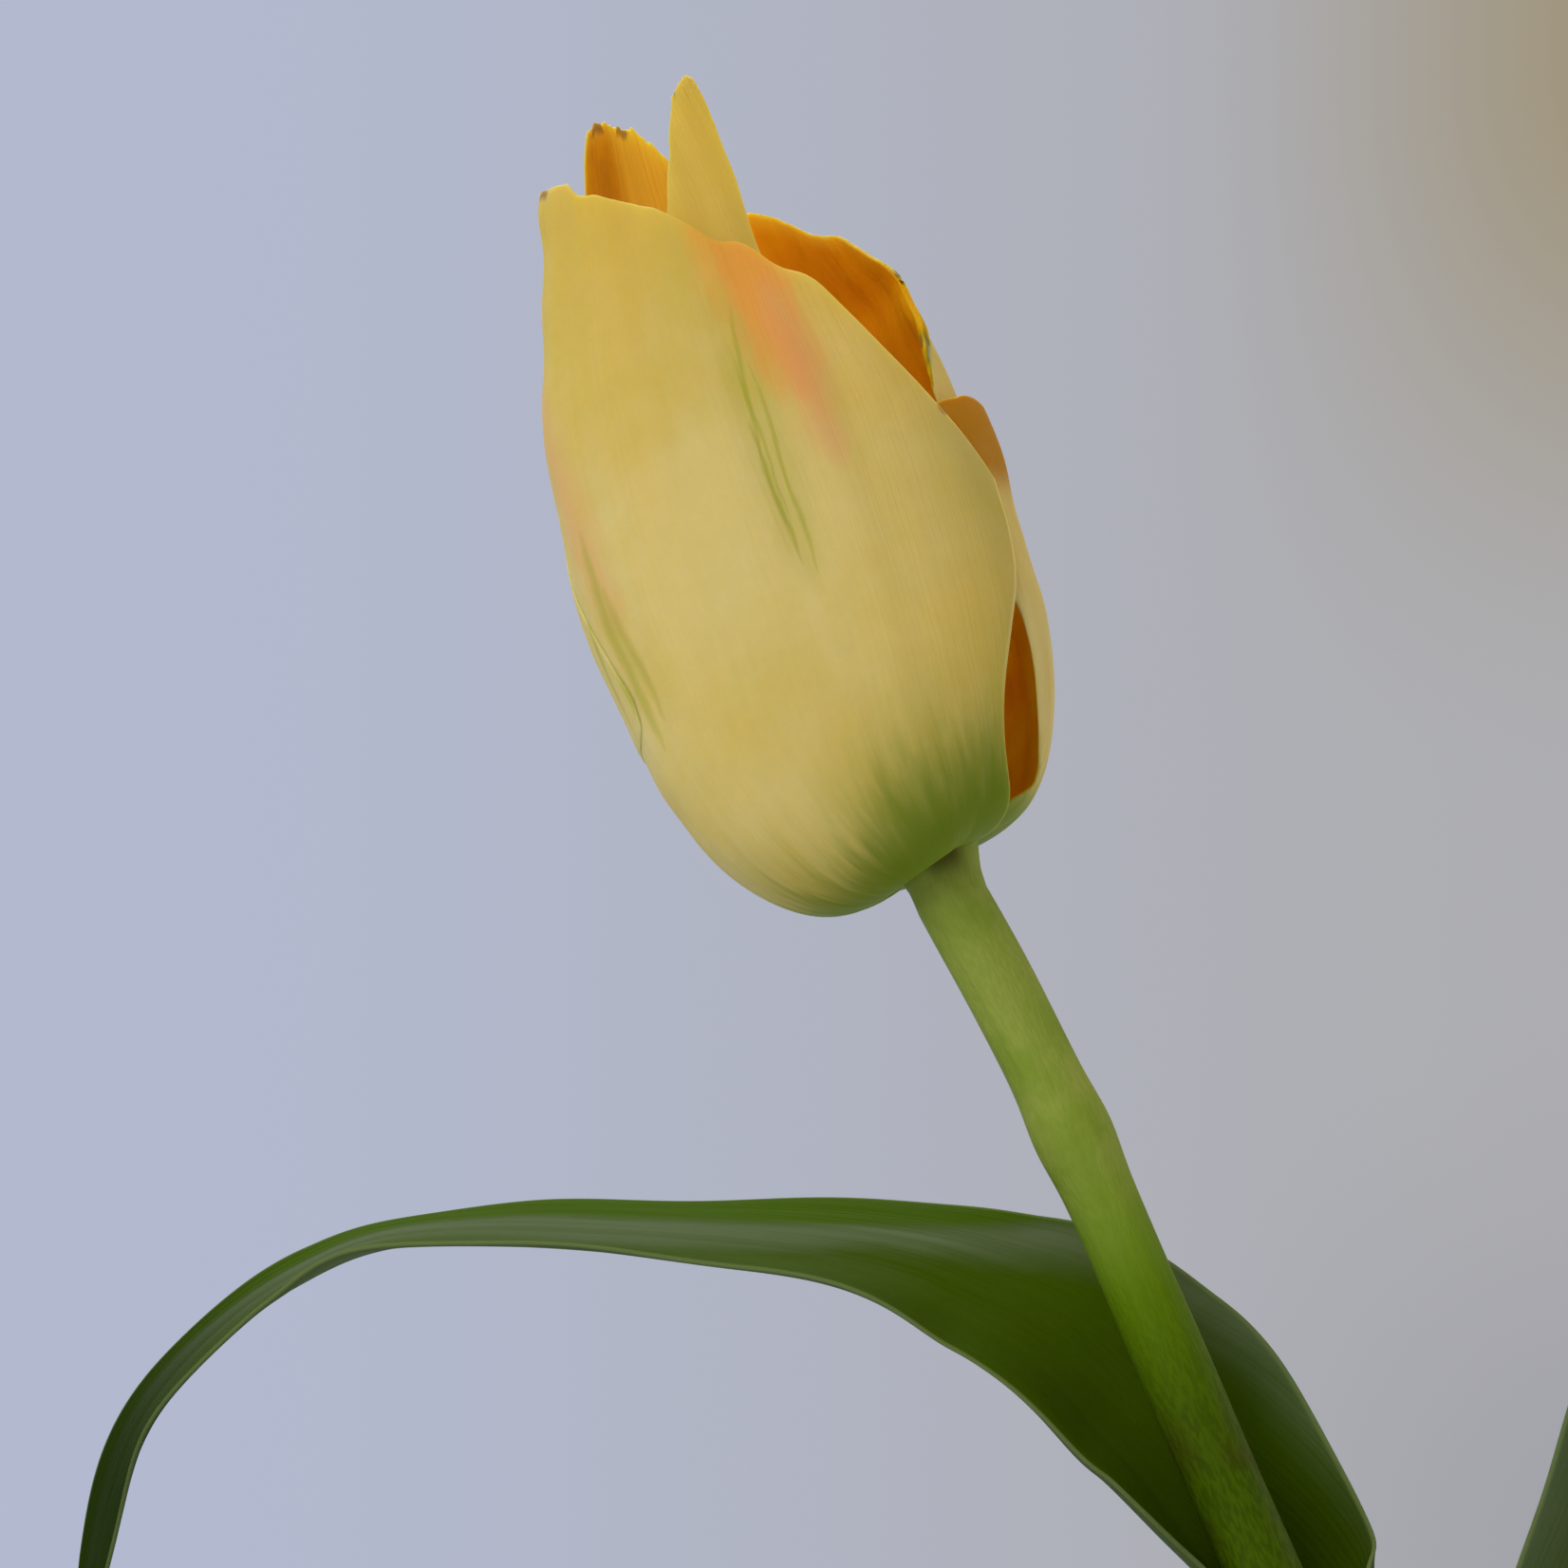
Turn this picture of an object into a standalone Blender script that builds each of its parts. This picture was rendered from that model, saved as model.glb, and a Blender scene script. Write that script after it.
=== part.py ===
"""A single yellow tulip with two leaves, leaning in a plain vase of water. Metres, +Z up.

The origin is the centre of the vase's underside. The bloom faces -Y, and the stem leans to -X.
"""

import math

import bmesh
import bpy
import numpy as np
from mathutils import Vector

# Vase: heights above its underside and outer radii there
VASE_HEIGHT = 0.122
FOOT_RADIUS = 0.0290
BELLY_HEIGHT, BELLY_RADIUS = 0.042, 0.0385
NECK_HEIGHT, NECK_RADIUS = 0.100, 0.0335
LIP_RADIUS = 0.0350
VASE_WALL = 0.0034
VASE_FLOOR = 0.006
FOOT_ROUNDING = 0.0020
FLOOR_ROUNDING = 0.0070
WALL_ROW = 0.009
WATER_LEVEL = 0.094
TURNING_STEPS = 40

# What touches in life keeps this much room here
SEAT_GAP = 0.0003

# Stem: the joint with the bloom, and the route below it as steps back from the joint
JOINT = Vector((-0.0775, 0.0, 0.2320))
KINK = JOINT + Vector((0.0110, 0.0, -0.0223))
STEM_RADIUS = 0.0029
LOWER_STEM_RADIUS = 0.0032
KINK_SWELLING = 0.00035
LOWER_LEAN = math.radians(23.5)
STEM_SIDES_RESOLUTION = 3
STEM_POINTS = 46

# Receptacle: the stem's swollen top, as (height along the bloom's axis, radius)
RECEPTACLE = (
    (-0.0040, 0.0029),
    (-0.0024, 0.0030),
    (-0.0012, 0.0033),
    (-0.0002, 0.0036),
    (0.0006, 0.0036),
    (0.0012, 0.0032),
)

# Bloom: a closed cup on a leaning axis
AXIS_TILT_LEFT = math.radians(20.5)
AXIS_TILT_BACK = math.radians(10.0)
CUP_RADIUS = 0.0168
CUP_BELLY = 0.024
CUP_HEIGHT = 0.068
CUP_FULLNESS = 3.2
CUP_CLOSING, CUP_CLOSING_POWER = 0.0094, 2.4
CUP_CLOSING_HEIGHT = 0.041
CUP_THREE_SIDED = 0.065
CUP_FLAT_SIDE = math.radians(-8.0)
CUP_SHIFT, CUP_LOW_SHIFT = -0.0008, -0.0012
CUP_LOW_SHIFT_HEIGHT = 0.006
CUP_DROOP, CUP_DROOP_LEFT = 0.0009, 0.0022
CUP_DROOP_SIDE = math.radians(-60)
CUP_DROOP_FROM, CUP_DROOP_TO = 0.0020, 0.0190
PETAL_THICKNESS = 0.0006
PETAL_COLUMNS = 12
PETAL_ROWS = 14

# Leaves
LEAF_THICKNESS = 0.0007
LEAF_COLUMNS = 6
LEAF_ROWS = 38

COLLECTION = "tulip_in_vase"


def clear_scene():
    for obj in list(bpy.data.objects):
        bpy.data.objects.remove(obj, do_unlink=True)


def material(name, colour, roughness, transmission=0.0):
    made = bpy.data.materials.new(name)
    made.use_nodes = True
    shader = made.node_tree.nodes["Principled BSDF"]
    shader.inputs["Base Color"].default_value = (*colour, 1.0)
    shader.inputs["Roughness"].default_value = roughness
    shader.inputs["Metallic"].default_value = 0.0
    shader.inputs["Transmission Weight"].default_value = transmission
    return made


def finish(obj, name, look, smooth_angle=math.radians(40)):
    """Names the object, moves it to the part's collection and gives it its material."""
    obj.name = name
    obj.data.name = name
    for old in list(obj.users_collection):
        old.objects.unlink(obj)
    bpy.data.collections[COLLECTION].objects.link(obj)
    obj.data.materials.clear()
    obj.data.materials.append(look)
    obj.data.shade_smooth()
    obj.data.set_sharp_from_angle(angle=smooth_angle)
    return obj


def smooth_route(points, count):
    """A smooth curve through the points (centripetal Catmull-Rom), read at even steps of its length."""
    pts = np.array([tuple(p) for p in points], float)
    pts = np.vstack([2 * pts[0] - pts[1], pts, 2 * pts[-1] - pts[-2]])
    dense = []
    for p0, p1, p2, p3 in zip(pts, pts[1:], pts[2:], pts[3:]):
        t1 = np.linalg.norm((p1 - p0)) ** 0.5
        t2 = t1 + np.linalg.norm((p2 - p1)) ** 0.5
        t3 = t2 + np.linalg.norm((p3 - p2)) ** 0.5
        for t in np.linspace(t1, t2, 24, endpoint=False):
            a1 = (t1 - t) / t1 * p0 + t / t1 * p1
            a2 = (t2 - t) / (t2 - t1) * p1 + (t - t1) / (t2 - t1) * p2
            a3 = (t3 - t) / (t3 - t2) * p2 + (t - t2) / (t3 - t2) * p3
            b1 = (t2 - t) / t2 * a1 + t / t2 * a2
            b2 = (t3 - t) / (t3 - t1) * a2 + (t - t1) / (t3 - t1) * a3
            dense.append((t2 - t) / (t2 - t1) * b1 + (t - t1) / (t2 - t1) * b2)
    dense.append(pts[-2])
    dense = np.array(dense)
    along = np.concatenate([[0], np.cumsum(np.linalg.norm(np.diff(dense[:, :3], axis=0), axis=1))])
    steps = np.linspace(0, along[-1], count)
    return np.column_stack([np.interp(steps, along, column) for column in dense.T])


# Vase and water


def vase_outer(heights):
    """Outer radius of the vase at these heights: foot, belly, neck and lip joined smoothly."""
    knots = (
        (FOOT_RADIUS, 0.0),
        (BELLY_RADIUS, BELLY_HEIGHT),
        (NECK_RADIUS, NECK_HEIGHT),
        (LIP_RADIUS, VASE_HEIGHT),
    )
    route = smooth_route(knots, 200)
    return np.interp(heights, route[:, 1], route[:, 0])


def turned(name, profile, look):
    """A solid turned round +Z from a profile of (radius, height)."""
    mesh = bpy.data.meshes.new(name)
    mesh.from_pydata([(r, 0.0, z) for r, z in profile], [(i, i + 1) for i in range(len(profile) - 1)], [])
    obj = bpy.data.objects.new(name, mesh)
    bpy.context.scene.collection.objects.link(obj)
    screw = obj.modifiers.new("turn", "SCREW")
    screw.steps = TURNING_STEPS
    screw.render_steps = TURNING_STEPS
    screw.use_merge_vertices = True
    screw.merge_threshold = 0.00005
    return finish(obj, name, look)


def vase_inner_profile(clearance, top):
    """Inside of the vase from the floor's centre out and up to a height, with a clearance to the wall."""
    floor = VASE_FLOOR + clearance
    start = floor + FLOOR_ROUNDING
    heights = np.linspace(start, top, round((top - start) / WALL_ROW) + 1)
    walls = vase_outer(heights) - VASE_WALL - clearance
    corner = walls[0] - FLOOR_ROUNDING
    turns = np.linspace(0, math.pi / 2, 5)[:-1]
    bend = [
        (corner + FLOOR_ROUNDING * math.sin(t), floor + FLOOR_ROUNDING * (1 - math.cos(t))) for t in turns
    ]
    return [(0.0, floor), *bend, *zip(walls, heights)]


def make_vase(look):
    rim = VASE_HEIGHT - VASE_WALL / 2
    inside = vase_inner_profile(0.0, rim)
    turns = np.linspace(math.pi, 0, 7)[1:-1]
    middle = vase_outer(rim) - VASE_WALL / 2
    lip = [(middle + VASE_WALL / 2 * math.cos(t), rim + VASE_WALL / 2 * math.sin(t)) for t in turns]
    heights = np.linspace(rim, FOOT_ROUNDING, 13)
    outside = list(zip(vase_outer(heights), heights))
    foot = vase_outer(FOOT_ROUNDING) - FOOT_ROUNDING
    turns = np.linspace(0, math.pi / 2, 4)[1:]
    under = [(foot + FOOT_ROUNDING * math.cos(t), FOOT_ROUNDING * (1 - math.sin(t))) for t in turns]
    return turned("vase", [*inside, *lip, *outside, *under, (0.0, 0.0)], look)


def make_water(look, stem_route):
    profile = [*vase_inner_profile(SEAT_GAP, WATER_LEVEL), (0.0, WATER_LEVEL)]
    water = turned("water", profile, look)
    wet = stem_route[stem_route[:, 2] < WATER_LEVEL + 0.02]
    below = wet[0] - (wet[4] - wet[0])
    radius = stem_radius(wet[0]) + SEAT_GAP
    hole = tube("stem_hole", [below, *wet], [radius] * (len(wet) + 1), STEM_SIDES_RESOLUTION)
    bpy.data.collections["cutters"].objects.link(hole)
    bpy.context.scene.collection.objects.unlink(hole)
    hole.hide_render = True
    hole.display_type = "WIRE"
    cut = water.modifiers.new("stem hole", "BOOLEAN")
    cut.operation = "DIFFERENCE"
    cut.object = hole
    return water


# Stem


def bloom_frame():
    """Right, back and up of the bloom, as world directions."""
    up = Vector((
        -math.sin(AXIS_TILT_LEFT) * math.cos(AXIS_TILT_BACK),
        math.sin(AXIS_TILT_BACK),
        math.cos(AXIS_TILT_LEFT) * math.cos(AXIS_TILT_BACK),
    ))
    right = Vector((math.cos(AXIS_TILT_LEFT), 0.0, math.sin(AXIS_TILT_LEFT)))
    return right, up.cross(right), up


def stem_point(height):
    """The stem's centre line below the kink, at this height above the table."""
    return KINK + Vector((math.tan(LOWER_LEAN) * (KINK.z - height), 0.0, height - KINK.z))


def stem_radius(point):
    near_kink = math.exp(-(((point[2] - KINK.z) / 0.003) ** 2))
    blend = 0.5 + 0.5 * math.tanh((KINK.z - 0.002 - point[2]) / 0.003)
    return STEM_RADIUS + (LOWER_STEM_RADIUS - STEM_RADIUS) * blend + KINK_SWELLING * near_kink


def stem_route():
    _, _, up = bloom_frame()
    cut_end = stem_point(VASE_FLOOR + SEAT_GAP + LOWER_STEM_RADIUS * math.sin(LOWER_LEAN))
    knots = [
        cut_end,
        stem_point(0.050),
        stem_point(0.100),
        stem_point(0.150),
        stem_point(0.185),
        KINK,
        KINK.lerp(JOINT, 0.5),
        JOINT + up * RECEPTACLE[0][0],
    ]
    return smooth_route(knots, STEM_POINTS)


def tube(name, points, radii, resolution):
    """A closed round tube along the points, as a mesh."""
    curve = bpy.data.curves.new(name, "CURVE")
    curve.dimensions = "3D"
    curve.bevel_depth = 1.0
    curve.bevel_resolution = resolution
    curve.use_fill_caps = True
    spline = curve.splines.new("POLY")
    spline.points.add(len(points) - 1)
    for point, place, radius in zip(spline.points, points, radii):
        point.co = (*place, 1.0)
        point.radius = radius
    guide = bpy.data.objects.new(name + "_curve", curve)
    bpy.context.scene.collection.objects.link(guide)
    bpy.context.view_layer.update()
    graph = bpy.context.evaluated_depsgraph_get()
    mesh = bpy.data.meshes.new_from_object(guide.evaluated_get(graph))
    shape = bmesh.new()
    shape.from_mesh(mesh)
    bmesh.ops.remove_doubles(shape, verts=shape.verts, dist=0.00001)
    bmesh.ops.recalc_face_normals(shape, faces=shape.faces)
    shape.to_mesh(mesh)
    shape.free()
    obj = bpy.data.objects.new(name, mesh)
    obj.matrix_world = guide.matrix_world
    bpy.context.scene.collection.objects.link(obj)
    bpy.data.objects.remove(guide, do_unlink=True)
    return obj


def make_stem(look, route):
    _, _, up = bloom_frame()
    points = [tuple(p) for p in route]
    radii = [stem_radius(p) for p in route]
    for height, radius in RECEPTACLE[1:]:
        points.append(tuple(JOINT + up * height))
        radii.append(radius)
    return finish(tube("stem", points, radii, STEM_SIDES_RESOLUTION), "stem", look)


# Petals


def cup_profile():
    """The bloom's outside from its axis out and up: radius, height, inward normal and length along it."""
    turn = np.linspace(0.0, math.pi / 2, 60)
    radius = CUP_RADIUS * np.sin(turn) ** (2 / CUP_FULLNESS)
    height = CUP_BELLY * (1 - np.cos(turn) ** (2 / CUP_FULLNESS))
    rise = np.linspace(0.0, CUP_HEIGHT - CUP_BELLY, 60)[1:]
    closing = CUP_CLOSING * (rise / CUP_CLOSING_HEIGHT) ** CUP_CLOSING_POWER
    radius = np.concatenate([radius, CUP_RADIUS - closing])
    height = np.concatenate([height, CUP_BELLY + rise])
    along = np.concatenate([[0.0], np.cumsum(np.hypot(np.diff(radius), np.diff(height)))])
    out_step = np.gradient(radius, along)
    up_step = np.gradient(height, along)
    size = np.hypot(out_step, up_step)
    return radius, height, -up_step / size, out_step / size, along


PROFILE = cup_profile()


class Petal:
    """One petal: how far it reaches round the cup, and the height of its upper edge.

    Angles are in degrees round the cup from the front, and u runs from -1 at its left edge to 1 at its right.
    """

    def __init__(self, left, right, peak, peak_at, fall_left, fall_right, **more):
        self.left = left  # the left edge at the foot, three places between and the top
        self.right = right
        self.peak = peak  # height of the highest point of the upper edge
        self.peak_at = peak_at  # where that is across the petal
        self.fall_left = fall_left  # (drop at the left end, power)
        self.fall_right = fall_right
        self.layer = more.get("layer", 0.0)  # how far inside the cup it lies
        self.left_lift = more.get("left_lift", 0.0)  # how far its left edge stands out
        self.right_lift = more.get("right_lift", 0.0)
        self.lift_span = more.get("lift_span", (-0.5, 1.5))  # where along its length the edges do
        self.tip = more.get("tip", (0.0, 0.1))  # height and width of a small point at the peak
        self.tip_out = more.get("tip_out", 0.0)  # how far its top stands out
        self.root_radius = more.get("root_radius", 0.0043)


def along_five(values, t):
    """A smooth value through five that are evenly spaced from t = 0 to t = 1 (Catmull-Rom)."""
    padded = [2 * values[0] - values[1], *values, 2 * values[-1] - values[-2]]
    part = min(int(t * 4), 3)
    before, start, end, after = padded[part : part + 4]
    t = t * 4 - part
    slope = end - before
    bend = 2 * before - 5 * start + 4 * end - after
    twist = 3 * (start - end) + after - before
    return start + 0.5 * t * (slope + t * (bend + t * twist))


def edge_height(petal, u):
    """Height of the petal's upper edge."""
    if u > petal.peak_at:
        (fall, power), reach = petal.fall_right, 1 - petal.peak_at
    else:
        (fall, power), reach = petal.fall_left, 1 + petal.peak_at
    point = petal.tip[0] * math.exp(-(((u - petal.peak_at) / petal.tip[1]) ** 2))
    return petal.peak + point - fall * (abs(u - petal.peak_at) / reach) ** power


def petal_point(petal, u, s):
    """A point of the petal's middle surface in the bloom's frame: u is -1 to 1 across, s is 0 to 1 upward."""
    radius, height, in_out, in_up, along = PROFILE
    start = np.interp(petal.root_radius, radius[:60], along[:60])
    end = np.interp(edge_height(petal, u), height, along)
    here = start + (end - start) * s
    r = np.interp(here, along, radius)
    h = np.interp(here, along, height)
    lift = petal.left_lift * max(0.0, -u) ** 3 + petal.right_lift * max(0.0, u) ** 3
    first, last = petal.lift_span
    lift *= math.sin(math.pi * min(1.0, max(0.0, (s - first) / (last - first))))
    inward = petal.layer - lift
    r += np.interp(here, along, in_out) * inward
    h += np.interp(here, along, in_up) * inward
    r += petal.tip_out * max(0.0, (h - CUP_BELLY) / (CUP_HEIGHT - CUP_BELLY)) ** 2
    left, right = along_five(petal.left, s), along_five(petal.right, s)
    turn = math.radians((left + right) / 2 + (right - left) / 2 * u)
    r *= 1 - CUP_THREE_SIDED * math.cos(3 * (turn - CUP_FLAT_SIDE)) * min(1.0, r / CUP_RADIUS)
    shoulder = min(1.0, max(0.0, (r - CUP_DROOP_FROM) / (CUP_DROOP_TO - CUP_DROOP_FROM)))
    sag = CUP_DROOP + CUP_DROOP_LEFT * max(0.0, math.cos(turn - CUP_DROOP_SIDE))
    h -= sag * math.sin(math.pi * shoulder) ** 0.6 * math.exp(-((h / 0.012) ** 2))
    low = math.exp(-(((h - CUP_LOW_SHIFT_HEIGHT) / 0.008) ** 2))
    x = r * math.sin(turn) + (CUP_SHIFT + CUP_LOW_SHIFT * low) * min(1.0, r / CUP_RADIUS)
    return Vector((x, -r * math.cos(turn), h))


def make_petal(name, petal, look):
    bpy.ops.mesh.primitive_grid_add(x_subdivisions=PETAL_COLUMNS, y_subdivisions=PETAL_ROWS, size=2.0)
    obj = bpy.context.object
    right, back, up = bloom_frame()
    for vertex in obj.data.vertices:
        u, s = vertex.co.x, (vertex.co.y + 1) / 2
        place = petal_point(petal, u, s)
        vertex.co = JOINT + right * place.x + back * place.y + up * place.z
    triangles = obj.modifiers.new("triangles", "TRIANGULATE")
    triangles.quad_method = "SHORTEST_DIAGONAL"
    skin = obj.modifiers.new("thickness", "SOLIDIFY")
    skin.thickness = PETAL_THICKNESS
    skin.offset = 0.0
    return finish(obj, name, look)


PETALS = {
    "petal_outer_front": Petal(
        (-99, -97, -84, -96, -97), (28, 37, 41, 49, 63), 0.0606, -0.84, (0.0020, 2.0), (0.0370, 2.65),
        left_lift=-0.0008, lift_span=(0.3, 1.2), tip=(0.0016, 0.10), tip_out=0.0010,
    ),
    "petal_outer_left": Petal(
        (-184, -190, -196, -196, -184), (-112, -103, -72, -132, -142), 0.0677, 0.20, (0.0048, 1.6),
        (0.0008, 2.0),
        layer=-0.0003, left_lift=0.0009, right_lift=0.0018, lift_span=(0.2, 0.7), tip_out=0.002,
    ),
    "petal_outer_right": Petal(
        (68, 74, 80, 84, 86), (150, 170, 184, 188, 186), 0.0540, 0.35, (0.0215, 0.75), (0.018, 2.0),
        layer=0.0008, left_lift=-0.0001, lift_span=(0.6, 1.4), root_radius=0.0046,
    ),
    "petal_inner_front": Petal(
        (-44, -44, -37, -26, 20), (56, 60, 54, 23, 30), 0.0665, 0.0, (0.001, 1.0), (0.001, 1.0),
        layer=0.0022, right_lift=-0.0032, lift_span=(0.0, 0.85), tip_out=0.003,
    ),
    "petal_inner_left": Petal(
        (-112, -122, -120, -112, -100), (-52, -48, -48, -52, -62), 0.0560, 0.0, (0.010, 2.0), (0.010, 2.0),
        layer=0.0020,
    ),
    "petal_inner_back": Petal(
        (130, 128, 121, 102, 98), (206, 216, 222, 220, 212), 0.0568, 0.1, (0.0118, 3.2), (0.020, 2.0),
        layer=0.0024, left_lift=0.0026, lift_span=(0.84, 1.25), tip_out=0.0012,
    ),
}


# Pistil and stamens

STAMENS = 6
PISTIL_FOOT = 0.0015
PISTIL_PROFILE = ((0.0022, 0.0), (0.0028, 0.0015), (0.0030, 0.009), (0.0026, 0.017), (0.0018, 0.0195))
STIGMA_LOBES = 3
LOBE_ROUTE = ((0.0, 0.0182), (0.0018, 0.0198), (0.0034, 0.0202), (0.0040, 0.0190))
LOBE_RADII = (0.0013, 0.0015, 0.0012, 0.0006)
STAMEN_ROUTE = (
    (0.0018, 0.0012),
    (0.0034, 0.0038),
    (0.0050, 0.0080),
    (0.0056, 0.0095),
    (0.0058, 0.0140),
    (0.0060, 0.0190),
)
STAMEN_RADII = (0.0007, 0.0007, 0.0007, 0.0012, 0.0012, 0.0005)
STAMEN_STAGGER = 0.0003


def make_flower_centre(look):
    right, back, up = bloom_frame()
    origin = JOINT + up * PISTIL_FOOT

    def grow(name, route, radii, turn, resolution, outward=0.0):
        """A tube along (distance from the axis, height), turned round the axis from the front."""
        side = right * math.sin(turn) - back * math.cos(turn)
        places = []
        for index, (reach, rise) in enumerate(route):
            places.append(origin + side * (reach + outward * (index > 1)) + up * rise)
        return tube(name, places, radii, resolution)

    pistil = [(0.0, rise) for _, rise in PISTIL_PROFILE]
    column = grow("pistil", pistil, [radius for radius, _ in PISTIL_PROFILE], 0.0, 2)
    grown = [column]
    for lobe in range(STIGMA_LOBES):
        turn = math.radians(30) + 2 * math.pi / STIGMA_LOBES * lobe
        grown.append(grow("lobe", LOBE_ROUTE, LOBE_RADII, turn, 1))
    for stamen in range(STAMENS):
        turn = 2 * math.pi / STAMENS * stamen
        outward = STAMEN_STAGGER * (stamen % 2)
        grown.append(grow("stamen", STAMEN_ROUTE, STAMEN_RADII, turn, 1, outward))
    group = bpy.data.collections.new("grown")
    bpy.context.scene.collection.children.link(group)
    for obj in grown[1:]:
        bpy.context.scene.collection.objects.unlink(obj)
        group.objects.link(obj)
    join = column.modifiers.new("grow", "BOOLEAN")
    join.operation = "UNION"
    join.operand_type = "COLLECTION"
    join.collection = group
    bpy.context.view_layer.update()
    graph = bpy.context.evaluated_depsgraph_get()
    mesh = bpy.data.meshes.new_from_object(column.evaluated_get(graph))
    for obj in grown:
        bpy.data.objects.remove(obj, do_unlink=True)
    bpy.data.collections.remove(group)
    centre = bpy.data.objects.new("flower_centre", mesh)
    bpy.context.scene.collection.objects.link(centre)
    return finish(centre, "flower_centre", look)


# Leaves

CLASP_RADIUS = LOWER_STEM_RADIUS + SEAT_GAP + LEAF_THICKNESS / 2 + 0.0002


def station(across_right, back, above, half_width, channel, near):
    """One place along a leaf: middle from the joint, half width, channel bend (radians), near edge's way."""
    return (*(JOINT + Vector((across_right, back, above))), half_width, channel, *Vector(near).normalized())


def clasp(height, side, half_width, radius=CLASP_RADIUS):
    """Where a leaf wraps round the stem: its midrib lies on the side given by an angle from the back."""
    along = Vector((-math.sin(LOWER_LEAN), 0.0, math.cos(LOWER_LEAN)))
    outward = Vector((math.cos(LOWER_LEAN), 0.0, math.sin(LOWER_LEAN))) * math.sin(side)
    outward += Vector((0.0, 1.0, 0.0)) * math.cos(side)
    middle = stem_point(height) + outward * radius
    return (*middle, half_width, 2 * half_width / radius, *along.cross(outward))


ARCHING_LEAF = (
    clasp(0.146, math.radians(20), 0.0090),
    clasp(0.158, math.radians(22), 0.0112, CLASP_RADIUS + 0.0008),
    station(0.0270, 0.0080, -0.0595, 0.0108, 3.0, (-0.86, -0.44, -0.32)),
    station(0.0210, 0.0065, -0.0533, 0.0125, 2.35, (-0.65, -0.68, -0.35)),
    station(0.0150, 0.0055, -0.0458, 0.0156, 1.5, (-0.47, -0.82, -0.33)),
    station(0.0045, 0.0055, -0.0371, 0.0163, 0.75, (-0.32, -0.92, -0.24)),
    station(-0.0113, 0.0085, -0.0323, 0.0151, 0.43, (-0.26, -0.96, -0.12)),
    station(-0.0365, 0.0155, -0.0313, 0.0115, 0.30, (-0.30, -0.95, -0.09)),
    station(-0.0535, 0.0220, -0.0355, 0.0089, 0.25, (-0.25, -0.94, -0.23)),
    station(-0.0640, 0.0270, -0.0455, 0.0067, 0.28, (0.02, -0.94, -0.33)),
    station(-0.0695, 0.0297, -0.0590, 0.0034, 0.32, (0.40, -0.90, -0.16)),
    station(-0.0712, 0.0298, -0.0740, 0.0006, 0.20, (0.50, -0.86, -0.06)),
)

RIGHT_LEAF = (
    clasp(0.126, math.radians(70), 0.0095),
    clasp(0.134, math.radians(70), 0.0118, CLASP_RADIUS + 0.0006),
    clasp(0.145, math.radians(68), 0.0148, 0.0090),
    station(0.0620, 0.0120, -0.0600, 0.0155, 1.4, (0.80, 0.58, -0.15)),
    station(0.0730, 0.0190, -0.0370, 0.0175, 1.0, (0.78, 0.55, -0.25)),
    station(0.0870, 0.0270, -0.0100, 0.0165, 0.8, (0.65, 0.70, -0.3)),
    station(0.1030, 0.0340, 0.0130, 0.0135, 0.7, (0.45, 0.85, -0.3)),
    station(0.1210, 0.0400, 0.0290, 0.0085, 0.5, (0.2, 0.95, -0.1)),
    station(0.1400, 0.0440, 0.0330, 0.0008, 0.1, (0.0, 1.0, 0.0)),
)


def make_leaf(name, stations, look):
    rows = smooth_route(stations, LEAF_ROWS + 1)
    forward = np.gradient(rows[:, :3], axis=0)
    bpy.ops.mesh.primitive_grid_add(x_subdivisions=LEAF_COLUMNS, y_subdivisions=LEAF_ROWS, size=2.0)
    obj = bpy.context.object
    for vertex in obj.data.vertices:
        across = vertex.co.x
        row = round((vertex.co.y + 1) / 2 * LEAF_ROWS)
        middle = Vector(rows[row, :3])
        half_width, channel = rows[row, 3:5]
        along = Vector(forward[row]).normalized()
        near = Vector(rows[row, 5:8])
        near = (near - along * near.dot(along)).normalized()
        face = along.cross(near)
        bend = max(channel, 0.01) / (2 * half_width)
        turn = bend * half_width * across
        vertex.co = middle + near * (math.sin(turn) / bend) + face * ((1 - math.cos(turn)) / bend)
    triangles = obj.modifiers.new("triangles", "TRIANGULATE")
    triangles.quad_method = "SHORTEST_DIAGONAL"
    skin = obj.modifiers.new("thickness", "SOLIDIFY")
    skin.thickness = LEAF_THICKNESS
    skin.offset = 0.0
    return finish(obj, name, look)


def main():
    clear_scene()
    for name in (COLLECTION, "cutters"):
        made = bpy.data.collections.get(name) or bpy.data.collections.new(name)
        if made.name not in bpy.context.scene.collection.children:
            bpy.context.scene.collection.children.link(made)
    glaze = material("glaze", (0.78, 0.77, 0.73), 0.25)
    clear_water = material("clear_water", (0.80, 0.88, 0.88), 0.05, transmission=0.9)
    stem_green = material("stem_green", (0.16, 0.26, 0.03), 0.5)
    leaf_green = material("leaf_green", (0.06, 0.12, 0.02), 0.45)
    petal_yellow = material("petal_yellow", (0.62, 0.45, 0.11), 0.6)
    pollen_yellow = material("pollen_yellow", (0.50, 0.45, 0.10), 0.8)

    route = stem_route()
    make_vase(glaze)
    make_water(clear_water, route)
    make_stem(stem_green, route)
    make_leaf("leaf_arching", ARCHING_LEAF, leaf_green)
    make_leaf("leaf_right", RIGHT_LEAF, leaf_green)
    for name, petal in PETALS.items():
        make_petal(name, petal, petal_yellow)
    make_flower_centre(pollen_yellow)


main()
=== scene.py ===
"""A yellow tulip leaning in a plain glazed vase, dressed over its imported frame. Metres, +Z up.

Every petal, leaf and turned piece repeats the frame's own form at a finer step, then adds what a look close
up shows: thin rounded margins, creases, ribs, veins and colour.
"""

import math

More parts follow.
